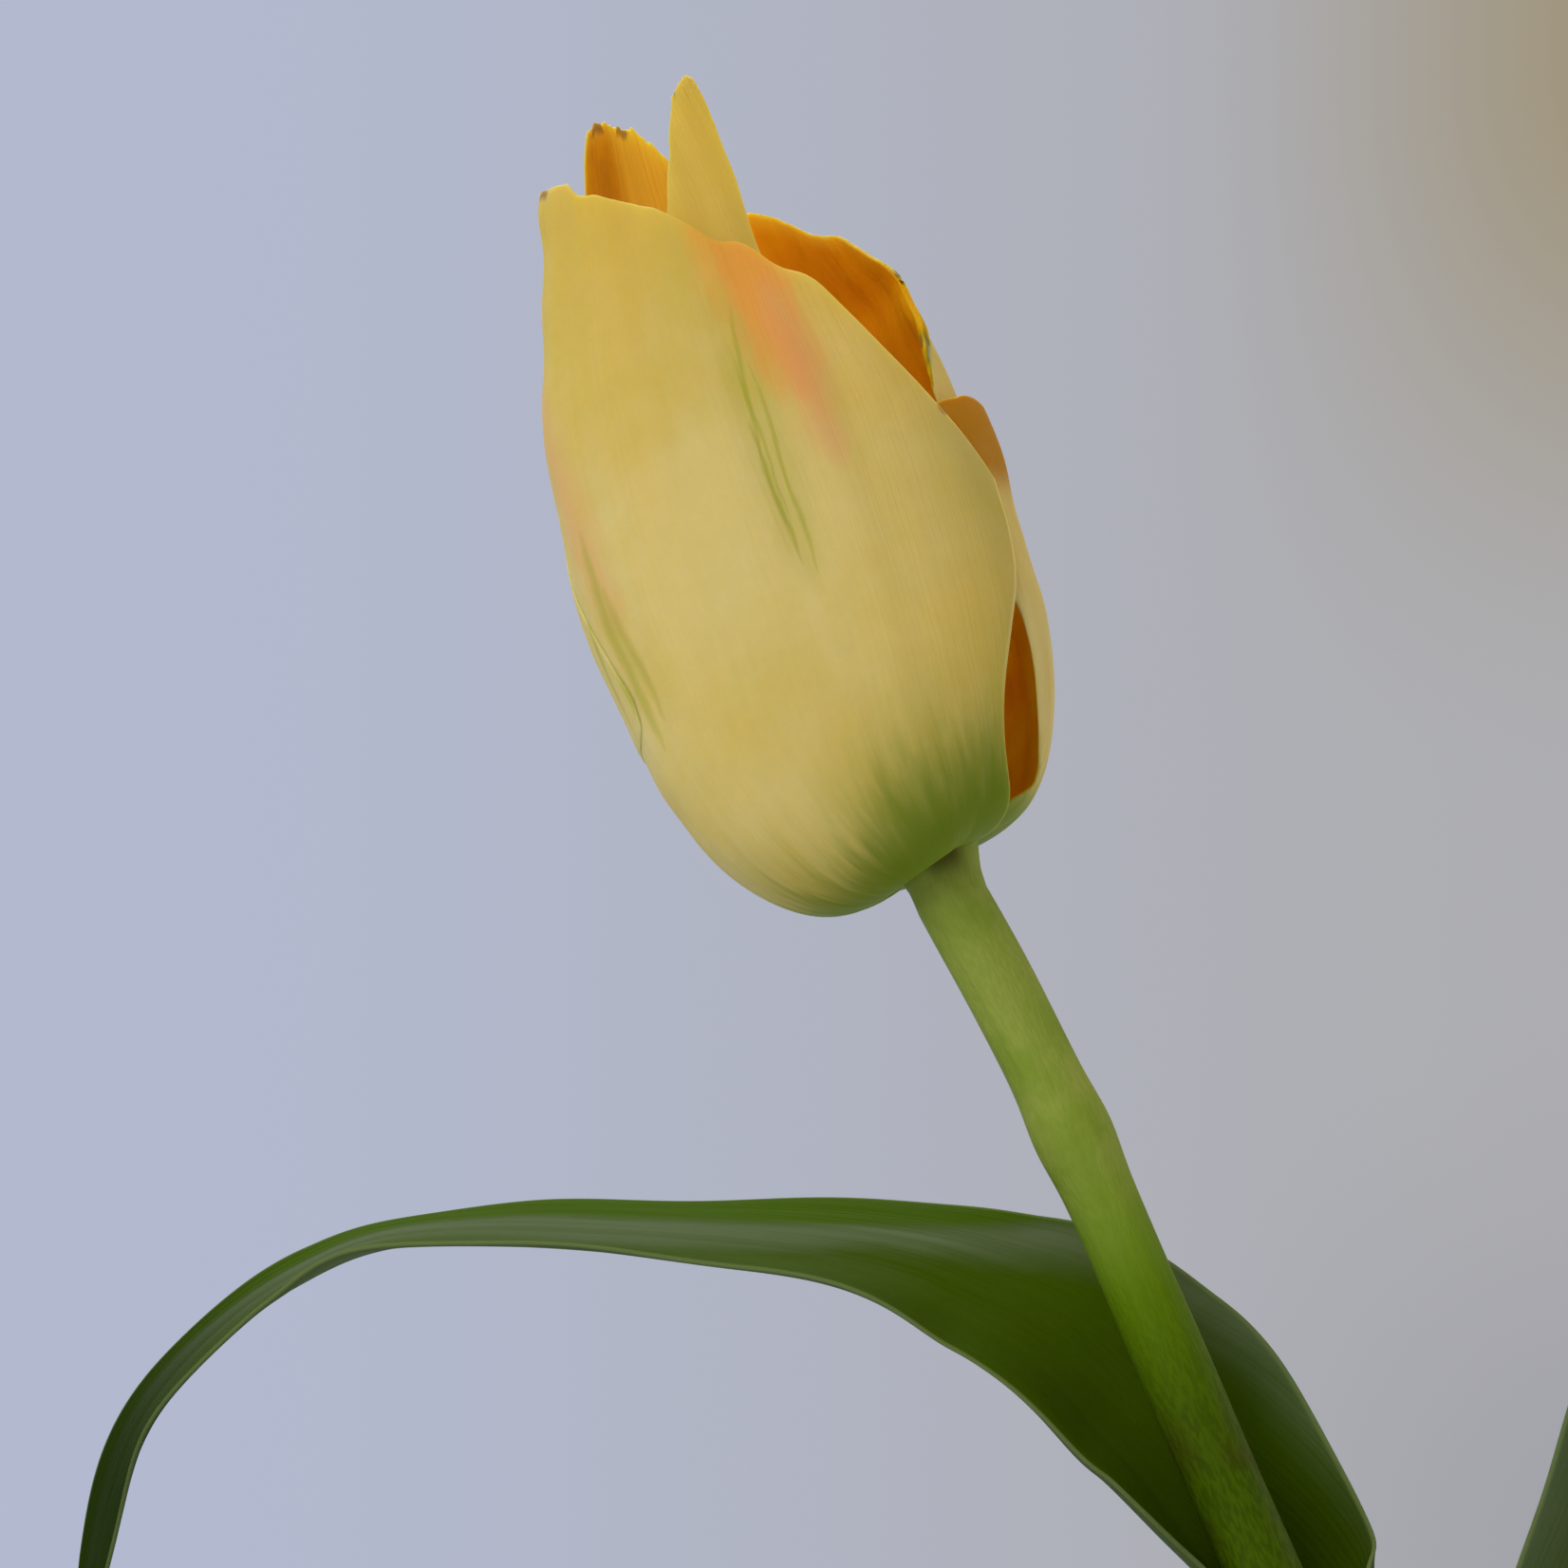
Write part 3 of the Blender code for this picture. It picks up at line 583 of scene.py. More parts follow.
def leaf_skin(name, dull=0.0):
    """Leaf tissue: dark green by the near side, a pale band along the middle that is painted sheen, and a far
    side painted brighter as light. The outer face is paler with wax.

    Dull says how dark the leaf is before its tip, which is darkened as painted shade on every leaf.
    """
    made, nodes = new_material(name)
    place = nodes.field("place")
    to_edge = nodes.split(nodes.field("rim"))[0]
    share, across, inside = nodes.split(nodes.field("depth"))
    veins = nodes.use(VEINS, Place=place, Spacing=0.38, Stretch=40.0, Wander=0.6)
    patches = nodes.use(PATCHES, Place=place, Size=14.0, Contrast=2.4)["Patch"]
    waxy = nodes.use(PATCHES, Place=place, Size=22.0, Contrast=2.0)["Patch"]
    wandering = nodes.plus(across, nodes.sway(waxy, 0.16))
    from_far = nodes.math("SUBTRACT", wandering, nodes.fade(share, 0.28, 0.50, -1.15, -0.48))
    lit_far_side = nodes.fade(from_far, 0.10, -0.10)
    band_end = nodes.fade(share, 0.42, 0.58, 0.50, 1.9)
    band = nodes.times(nodes.fade(from_far, -0.10, 0.12), nodes.fade(from_far, band_end, 0.12))
    open_part = nodes.fade(share, 0.12, 0.30)
    colour = nodes.tint(LEAF_GREEN, LEAF_BRIGHT, patches, 0.5)
    # Painted light: the far side, which curls up towards the light, made brighter
    colour = nodes.tint(colour, LEAF_BRIGHT, nodes.times(lit_far_side, open_part), 0.9)
    # Painted sheen: a pale band that stands for the sky's reflection along the leaf
    colour = nodes.tint(colour, LEAF_WAX_AND_SHEEN, nodes.times(band, open_part), 0.80)
    colour = nodes.tint(colour, LEAF_BRIGHT, veins["Lines"], 0.16)
    colour = nodes.tint(colour, LEAF_GREEN, veins["Broad"], 0.20)
    colour = nodes.mix(nodes.fade(inside, 0.0, 1.0, 0.35, 0.0), colour, LEAF_WAX_AND_SHEEN)
    # Painted shade at the tip; dull darkens the leaf before the tip as well
    colour = nodes.mix(nodes.fade(share, 0.68, 0.88, dull, 0.90), colour, LEAF_DARK)
    colour = nodes.mix(nodes.fade(to_edge, 0.40, 0.08, 0.0, 0.35), colour, LEAF_MARGIN)
    height = nodes.plus(veins["Lines"], nodes.times(veins["Broad"], 0.6))
    return finish_material(
        made,
        nodes,
        Base_Color=colour,
        Roughness=nodes.plus(nodes.times(waxy, 0.12), 0.44),
        Normal=nodes.relief(height, 0.30, 0.00012),
        Specular_IOR_Level=0.002,
        Subsurface_Weight=0.06,
        Subsurface_Radius=(0.0008, 0.0016, 0.0004),
        Subsurface_Scale=1.0,
    )


STEM_GREEN = (0.125, 0.230, 0.004)
STEM_PALE = (0.295, 0.340, 0.064)
# Deep green: in broad bands along the stem, and as painted shade low down
STEM_DEEP = (0.034, 0.060, 0.0005)
STEM_BROWN = (0.050, 0.030, 0.006)
# In millimetres: how far round the stem the scar is, and the heights that the bruise spans
SCAR_ROUND = 5.3
BRUISE_FROM, BRUISE_TO = 178.0, 188.0


def stem_skin():
    """Stem tissue: pale wax above the kink, deep green low down as painted shade, fine lines and a brown scar
    at the top.
    """
    made, nodes = new_material("stem skin")
    place = nodes.field("place")
    around, _, height = nodes.split(place)
    veins = nodes.use(VEINS, Place=place, Spacing=0.30, Stretch=26.0, Wander=0.5)
    patches = nodes.use(PATCHES, Place=place, Size=7.0, Contrast=2.2)["Patch"]
    kink = KINK.z / MM
    wax = nodes.times(nodes.fade(height, kink - 14.0, kink + 2.0), nodes.fade(patches, 0.1, 0.7, 0.6, 1.0))
    colour = nodes.tint(STEM_GREEN, STEM_DEEP, veins["Broad"], 0.12)
    # Painted shade: darker towards the bottom, where less light falls
    colour = nodes.tint(colour, STEM_DEEP, nodes.fade(height, kink - 4.0, kink - 26.0), 0.9)
    colour = nodes.tint(colour, STEM_PALE, wax, 0.85)
    colour = nodes.tint(colour, STEM_GREEN, veins["Lines"], 0.18)
    top = JOINT.z / MM
    from_scar = nodes.math("ABSOLUTE", nodes.math("SUBTRACT", around, SCAR_ROUND))
    scar = nodes.times(nodes.fade(height, top - 2.8, top - 0.8), nodes.fade(from_scar, 2.2, 0.6, 0.0, 0.8))
    colour = nodes.tint(colour, STEM_BROWN, scar, 0.9)
    ends = {"Start": (0.0, BRUISE_FROM, 0.0), "End": (0.0, BRUISE_TO, 0.0)}
    bruise = nodes.use(STREAK, Place=nodes.join(0.0, height), Width=5.0, Ragged=0.0, **ends)["Mask"]
    colour = nodes.mix(nodes.times(bruise, nodes.fade(patches, 0.45, 0.8, 0.0, 0.35)), colour, STEM_BROWN)
    colour = nodes.mix(nodes.fade(height, 40.0, 8.0, 0.0, 0.5), colour, STEM_PALE)
    bump = nodes.plus(veins["Lines"], nodes.times(veins["Broad"], 0.8))
    return finish_material(
        made,
        nodes,
        Base_Color=colour,
        Roughness=nodes.plus(nodes.times(patches, 0.12), 0.42),
        Normal=nodes.relief(bump, 0.25, 0.00012),
        Subsurface_Weight=0.12,
        Subsurface_Radius=(0.0010, 0.0018, 0.0004),
        Subsurface_Scale=1.0,
        Specular_IOR_Level=0.03,
    )


def pollen_skin():
    """Flower centre: pale green pistil with cream lobes, and golden anthers on pale filaments."""
    made, nodes = new_material("flower centre")
    away, height, _ = nodes.split(nodes.field("place"))
    grains = nodes.noise(nodes.position(), 2600.0, detail=2.0)
    pistil = nodes.mix(nodes.fade(height, 15.0, 18.5), (0.30, 0.40, 0.10), (0.72, 0.66, 0.36))
    anther = nodes.mix(grains, (0.50, 0.33, 0.04), (0.66, 0.48, 0.10))
    anther = nodes.mix(nodes.fade(height, 9.5, 8.0), anther, (0.60, 0.55, 0.24))
    return finish_material(
        made,
        nodes,
        Base_Color=nodes.mix(nodes.fade(away, 4.2, 4.7), pistil, anther),
        Roughness=0.75,
        Normal=nodes.relief(grains, 0.5, 0.0002),
        Subsurface_Weight=0.08,
        Subsurface_Radius=(0.0010, 0.0010, 0.0004),
        Subsurface_Scale=1.0,
    )


def glaze_skin():
    """Off-white glaze that breaks to bare clay at the foot, with faint throwing rings and specks."""
    made, nodes = new_material("off-white glaze")
    spot = nodes.position()
    x, y, z = nodes.split(spot)
    flattened = nodes.join(nodes.times(x, 6.0), nodes.times(y, 6.0), nodes.times(z, 420.0))
    rings = nodes.noise(flattened, 1.0, detail=1.0)
    clouds = nodes.noise(spot, 38.0, detail=3.0)
    specks = nodes.fade(nodes.noise(spot, 900.0, detail=0.0), 0.735, 0.775)
    glaze = nodes.mix(nodes.fade(clouds, 0.35, 0.65), (0.66, 0.645, 0.595), (0.74, 0.725, 0.68))
    glaze = nodes.tint(glaze, (0.30, 0.22, 0.13), specks, 0.45)
    lip = nodes.fade(z, VASE_HEIGHT - 0.0022, VASE_HEIGHT - 0.0002, 0.0, 0.45)
    glaze = nodes.mix(lip, glaze, (0.50, 0.42, 0.30))
    bare = nodes.fade(nodes.plus(z, nodes.sway(clouds, 0.002)), 0.0030, 0.0024)
    clay = nodes.mix(nodes.noise(spot, 1400.0, detail=2.0), (0.40, 0.31, 0.22), (0.52, 0.42, 0.31))
    return finish_material(
        made,
        nodes,
        Base_Color=nodes.mix(bare, glaze, clay),
        Roughness=nodes.fade(bare, 0.0, 1.0, 0.16, 0.85, kind="LINEAR"),
        Normal=nodes.relief(nodes.plus(rings, nodes.times(clouds, 0.08)), 0.35, 0.0004),
        Specular_IOR_Level=0.5,
        Coat_Weight=nodes.fade(bare, 0.0, 1.0, 0.35, 0.0),
        Coat_Roughness=0.08,
    )


def water_skin():
    """Clear water with a little dust in it and a faint ripple."""
    made, nodes = new_material("clear water")
    spot = nodes.position()
    dust = nodes.noise(spot, 500.0, detail=2.0)
    return finish_material(
        made,
        nodes,
        Base_Color=nodes.mix(nodes.fade(dust, 0.6, 0.8, 0.0, 0.15), (0.90, 0.95, 0.93), (0.72, 0.78, 0.62)),
        Roughness=nodes.fade(dust, 0.3, 0.8, 0.02, 0.06),
        Normal=nodes.relief(nodes.noise(spot, 60.0, detail=1.0), 0.08, 0.001),
        IOR=1.333,
        Transmission_Weight=1.0,
    )


def stage_skin(name, colour, roughness):
    made, nodes = new_material(name)
    cloud = nodes.noise(nodes.position(), 3.0, detail=2.0)
    darker = tuple(c * 0.96 for c in colour)
    look = nodes.mix(cloud, colour, darker)
    return finish_material(made, nodes, Base_Color=look, Roughness=roughness, Specular_IOR_Level=0.2)


def dress(piece, look, node):
    """Gives a piece its look, hangs it on the root body and hides the CAD node it stands for."""
    piece.data.materials.clear()
    piece.data.materials.append(look)
    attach(piece, "root")
    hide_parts(node)


# Vase and water


def make_vase():
    """The vase, turned from the middle of its floor, over the rounded lip, to the hollow under its foot."""
    rim = VASE_HEIGHT - VASE_WALL / 2
    floor_top = VASE_FLOOR + FLOOR_ROUNDING
    heights = np.linspace(floor_top, rim, 60)
    walls = vase_outer(heights) - VASE_WALL
    corner = walls[0] - FLOOR_ROUNDING
    inside = [(0.0, VASE_FLOOR), (corner * 0.5, VASE_FLOOR)]
    inside += arc(corner, floor_top, FLOOR_ROUNDING, -90, 0, 9)[:-1] + list(zip(walls, heights))
    lip = arc(float(vase_outer(rim)) - VASE_WALL / 2, rim, VASE_WALL / 2, 180, 0, 13)[1:-1]
    outer_heights = np.linspace(rim, FOOT_ROUNDING, 80)
    outside = list(zip(vase_outer(outer_heights), outer_heights))
    foot = float(vase_outer(FOOT_ROUNDING)) - FOOT_ROUNDING
    under = arc(foot, FOOT_ROUNDING, FOOT_ROUNDING, 0, -90, 9)[1:]
    hollow = [(foot - 0.0030, 0.0), (foot - 0.0036, 0.0002), (foot - 0.0042, 0.0009), (foot - 0.0050, 0.0012)]
    profile = [*inside, *lip, *outside, *under, *hollow, (0.0, 0.0012)]

    def thrown(turns, radius, height):
        """A hand's slight unevenness, a twentieth of a millimetre, that fades out at the foot."""
        depth = 0.00005 * min(1.0, height / 0.02)
        return depth * (np.sin(2 * turns + 1.0 + 20 * height) + 0.6 * np.sin(3 * turns - 40 * height)) - depth

    dress(turned("glazed_vase", profile, thrown), glaze_skin(), "vase")


def make_water(route):
    """Water up to the wall, where it rises a little, with a plain hole in which the stem stands."""
    floor = VASE_FLOOR + SEAT_GAP
    start = floor + FLOOR_ROUNDING
    level = WATER_LEVEL - WATER_RISE
    heights = np.linspace(start, level, 40)
    walls = vase_outer(heights) - VASE_WALL + WALL_OVERLAP
    corner = walls[0] - FLOOR_ROUNDING
    profile = [(0.0, floor), (corner * 0.5, floor)]
    profile += arc(corner, start, FLOOR_ROUNDING, -90, 0, 7)[:-1] + list(zip(walls, heights))
    reach = walls[-1]
    for share in np.linspace(0, 1, 10):
        profile.append((reach - share * 0.006, level + WATER_RISE * math.exp(-share * 4.5)))
    profile += [(reach * 0.5, level), (0.0, level)]
    # The small turn keeps the water's edges out of the plane in which the stem's hole lies.
    water = turned("vase_water", profile[::-1], start=0.012)
    wet = route[route[:, 2] < WATER_LEVEL + 0.02]
    before = wet[0] - unit(wet[40] - wet[0]) * 0.008
    path = np.vstack([before, wet])[::6]
    cutter = round_body("stem_hole", path, np.full(len(path), LOWER_STEM_RADIUS - STEM_OVERLAP), 40)
    cut = water.modifiers.new("stem hole", "BOOLEAN")
    cut.operation = "DIFFERENCE"
    cut.object = cutter
    keep_modifiers(water)
    bpy.data.objects.remove(cutter, do_unlink=True)
    water.data.set_sharp_from_angle(angle=math.radians(40))
    dress(water, water_skin(), "water")


# Stem


def bloom_frame():
    """Right, back and up of the bloom, as world directions."""
    up = Vector((
        -math.sin(AXIS_TILT_LEFT) * math.cos(AXIS_TILT_BACK),
        math.sin(AXIS_TILT_BACK),
        math.cos(AXIS_TILT_LEFT) * math.cos(AXIS_TILT_BACK),
    ))
    right = Vector((math.cos(AXIS_TILT_LEFT), 0.0, math.sin(AXIS_TILT_LEFT)))
    return np.array(right), np.array(up.cross(right)), np.array(up)


RIGHT, BACK, UP = bloom_frame()


def stem_point(height):
    """The stem's centre line below the kink, at this height above the table."""
    return KINK + Vector((math.tan(LOWER_LEAN) * (KINK.z - height), 0.0, height - KINK.z))


def stem_route():
    cut_end = VASE_FLOOR + SEAT_GAP + LOWER_STEM_RADIUS * math.sin(LOWER_LEAN)
    knots = [stem_point(height) for height in (cut_end, 0.050, 0.100, 0.150, 0.185)]
    knots += [KINK, KINK.lerp(JOINT, 0.5), JOINT + Vector(UP) * RECEPTACLE[0][0]]
    return smooth_route(knots, STEM_RINGS)


def stem_relief(turns, along, point):
    """Shallow ribs, deeper above the kink, where one groove shows on the front."""
    upper = 0.5 + 0.5 * math.tanh((point[2] - KINK.z - 0.001) / 0.003)
    ribs = 0.000035 * np.sin(7 * turns + 0.6 * math.sin(along * 40)) + 0.00002 * np.sin(12 * turns + 2.0)
    wave = 0.00005 * math.sin(along * 260) * math.sin(along * 71)
    front = math.pi / 2 + 0.45
    groove = -0.00022 * upper * bell(turns, front, 0.20)
    return ribs * (0.5 + upper) + wave + groove


def make_stem(route):
    """The stem, swollen at its kink and at its top, where it flares into the dome that carries the bloom."""
    blend = 1 - smooth_step(route[:, 2], 0.145, 0.200)
    radii = STEM_RADIUS + (LOWER_STEM_RADIUS - STEM_RADIUS) * blend
    radii = radii + KINK_SWELLING * bell(route[:, 2], KINK.z, 0.003)
    top = np.array(RECEPTACLE)
    heights = np.linspace(top[0, 0], top[-1, 0], 26)[1:]
    places = np.array(JOINT) + np.outer(heights, UP)
    flare = np.interp(heights, top[:, 0], top[:, 1])
    dome = np.array(JOINT) + np.outer([0.00135, 0.00145], UP)
    route = np.vstack([route, places, dome])
    radii = np.concatenate([radii, flare, [0.0027, 0.0018]])
    radii[0] -= CUT_ROUNDING
    piece = round_body("tulip_stem", route, radii, STEM_SIDES, stem_relief)
    dress(piece, stem_skin(), "stem")


# Petals


def cup_profile():
    """The bloom's outside from its axis out and up: radius, height, inward normal and length along it."""
    turn = np.linspace(0.0, math.pi / 2, 60)
    radius = CUP_RADIUS * np.sin(turn) ** (2 / CUP_FULLNESS)
    height = CUP_BELLY * (1 - np.cos(turn) ** (2 / CUP_FULLNESS))
    rise = np.linspace(0.0, CUP_HEIGHT - CUP_BELLY, 60)[1:]
    closing = CUP_CLOSING * (rise / CUP_CLOSING_HEIGHT) ** CUP_CLOSING_POWER
    radius = np.concatenate([radius, CUP_RADIUS - closing])
    height = np.concatenate([height, CUP_BELLY + rise])
    along = running_length(np.column_stack([radius, height]))
    out_step = np.gradient(radius, along)
    up_step = np.gradient(height, along)
    size = np.hypot(out_step, up_step)
    return radius, height, -up_step / size, out_step / size, along


PROFILE = cup_profile()


def curve(pairs, where):
    """A smooth line through (place, value) pairs, read at these places."""
    at, value = np.array(pairs, float).T
    slope = np.gradient(value, at)
    part = np.clip(np.searchsorted(at, where) - 1, 0, len(at) - 2)
    step = at[part + 1] - at[part]
    x = np.clip((where - at[part]) / step, 0.0, 1.0)
    start, end = value[part], value[part + 1]
    leave, arrive = slope[part] * step, slope[part + 1] * step
    cubic = x * (2 * (start - end) + leave + arrive)
    return start + x * (leave + x * (3 * (end - start) - 2 * leave - arrive + cubic))


class Petal:
    """One petal of the cup.

    Each side margin is a list of (millimetres up along the cup's curve, degrees round it from the front). The
    upper edge is a list of (degrees, height in millimetres) from the left margin's top to the right one's.
    """

    layer = 0.0  # how far inside the cup it lies
    left_lift = 0.0  # how far its left margin stands out
    right_lift = 0.0
    shelf = 0.0  # how far its right side lies over its neighbour
    lift_span = (-0.5, 1.5)  # where along its length the sides stand out
    tip_out = 0.0  # how far its top stands out
    root_radius = 0.0032
    creases = ()  # (degrees round, width in degrees, depth, from height, to height)
    ragged = 0.00006  # how uneven its upper edge is

    def __init__(self, node, left, right, top, look, **more):
        self.node = node
        self.left = left
        self.right = right
        self.top = top
        self.look = look
        for name, value in more.items():
            setattr(self, name, value)


# In millimetres, how far the cup's sides are shifted to the right: (height, left side, right side)
CUP_SIDES = (
    (0, 0.9, -0.45), (3, 0.78, -0.25), (6, 0.65, 0.1), (9, 0.42, 0.38), (12, -0.2, 0.42),
    (15, -0.55, 0.4), (18, -0.75, 0.2), (21, -1.05, 0.2), (24, -1.35, 0.35), (27, -1.4, 0.8),
    (31, -1.2, 1.0), (36, -0.8, 1.2), (39, -0.72, 1.2), (42, -0.6, 1.3), (45, -0.22, 1.9),
    (48, 0.38, 0.8), (52, 0.55, 0.1), (57, 0.7, 0.0), (60, -0.25, 0.0), (68, -0.6, 0.0),
)


def cup_point(r, h, turn):
    """Where this radius, height and turn of the even cup lie in the bloom's frame (right, back, up)."""
    r = r * (1 - CUP_THREE_SIDED * np.cos(3 * (turn - CUP_FLAT_SIDE)) * np.minimum(1.0, r / CUP_RADIUS))
    shoulder = np.clip((r - CUP_DROOP_FROM) / (CUP_DROOP_TO - CUP_DROOP_FROM), 0.0, 1.0)
    sag = CUP_DROOP + CUP_DROOP_LEFT * np.maximum(0.0, np.cos(turn - CUP_DROOP_SIDE))
    h = h - sag * np.sin(math.pi * shoulder) ** 0.6 * bell(h, 0.0, 0.012)
    low = bell(h, CUP_LOW_SHIFT_HEIGHT, 0.008)
    share = np.minimum(1.0, r / CUP_RADIUS)
    x = r * np.sin(turn) + (CUP_SHIFT + CUP_LOW_SHIFT * low) * share
    side = np.sin(turn)
    heights, left, right = (np.array(column) * MM for column in zip(*CUP_SIDES))
    on_left = curve(list(zip(heights, left)), h)
    on_right = curve(list(zip(heights, right)), h)
    x = x + share * side**2 * np.where(side < 0, on_left, on_right)
    return np.stack([x, -r * np.cos(turn), h], axis=-1)


def petal_surface(petal, u, s):
    """Middle points in the bloom's frame, with the turn and the length along the curve of each.

    U runs across the petal, from -1 at its left margin to 1 at its right, and s from 0 at its root to 1 at
    its upper edge.
    """
    radius, height, in_out, in_up, along = PROFILE
    start = np.interp(petal.root_radius, radius[:60], along[:60])
    first, last = petal.top[0][0], petal.top[-1][0]
    uneven = np.sin(19 * u + 1.0) + 0.7 * np.sin(37 * u + 300 * petal.layer) + 0.4 * np.sin(61 * u)
    edge = curve(petal.top, (first + last) / 2 + (last - first) / 2 * u) * MM + petal.ragged * uneven
    end = np.interp(edge, height, along)
    here = start + (end - start) * s
    ends = np.interp(np.array([petal.top[0][1], petal.top[-1][1]]) * MM, height, along)
    left = curve(petal.left, (start + (ends[0] - start) * s) / MM)
    right = curve(petal.right, (start + (ends[1] - start) * s) / MM)
    r = np.interp(here, along, radius)
    h = np.interp(here, along, height)
    degrees = (left + right) / 2 + (right - left) / 2 * u
    turn = np.radians(degrees)
    lift = petal.left_lift * np.maximum(0.0, -u) ** 3 + petal.right_lift * np.maximum(0.0, u) ** 3
    lift = lift + petal.shelf * smooth_step(u, 0.2, 0.55)
    low, high = petal.lift_span
    lift = lift * np.sin(math.pi * np.clip((s - low) / (high - low), 0.0, 1.0))
    inward = petal.layer - lift
    for middle, width, depth, low, high in petal.creases:
        span = smooth_step(h, low, low + 0.008) * (1 - smooth_step(h, high - 0.008, high))
        inward = inward + depth * bell(degrees, middle, width) * span
    wave = EDGE_WAVE * smooth_step(s, 0.55, 1.0)
    inward = inward + wave * np.sin(0.16 * degrees + 5 * s + 700 * petal.layer)
    folds = np.sin(0.23 * degrees + 2.0 * np.sin(3 * s)) + 0.6 * np.sin(0.41 * degrees - 2.5 * s + 1.0)
    inward = inward + FOLD_DEPTH * folds * smooth_step(s, 0.1, 0.4)
    r = r + np.interp(here, along, in_out) * inward
    h = h + np.interp(here, along, in_up) * inward
    r = r + petal.tip_out * np.maximum(0.0, (h - CUP_BELLY) / (CUP_HEIGHT - CUP_BELLY)) ** 2
    return cup_point(r, h, turn), degrees, here


def make_petal(name, petal):
    u, s = np.meshgrid(np.linspace(-1, 1, PETAL_COLUMNS + 1), np.linspace(0, 1, PETAL_ROWS + 1))
    local, degrees, here = petal_surface(petal, u, s)
    middle = np.array(JOINT) + local[..., :1] * RIGHT + local[..., 1:2] * BACK + local[..., 2:] * UP
    across = running_length(middle, axis=1)
    upward = running_length(middle)
    to_left, to_right, to_top = across, across[:, -1:] - across, upward[-1:] - upward
    nearest = np.minimum(np.minimum(to_left, to_right), to_top)
    thickness = PETAL_THICKNESS * (1 - MARGIN_THINNING * np.exp(-nearest / PETAL_MARGIN))
    zero = np.zeros_like(u)
    place = np.stack([round_mm(degrees), local[..., 2] / MM, zero], axis=-1)
    rim = np.stack([to_left, to_right, to_top], axis=-1) / MM
    depth = np.stack([here / MM, u, zero], axis=-1)
    piece = blade(name, middle, thickness, place, rim, depth)
    dress(piece, petal_skin(name.replace("_", " ") + " skin", **petal.look), petal.node)


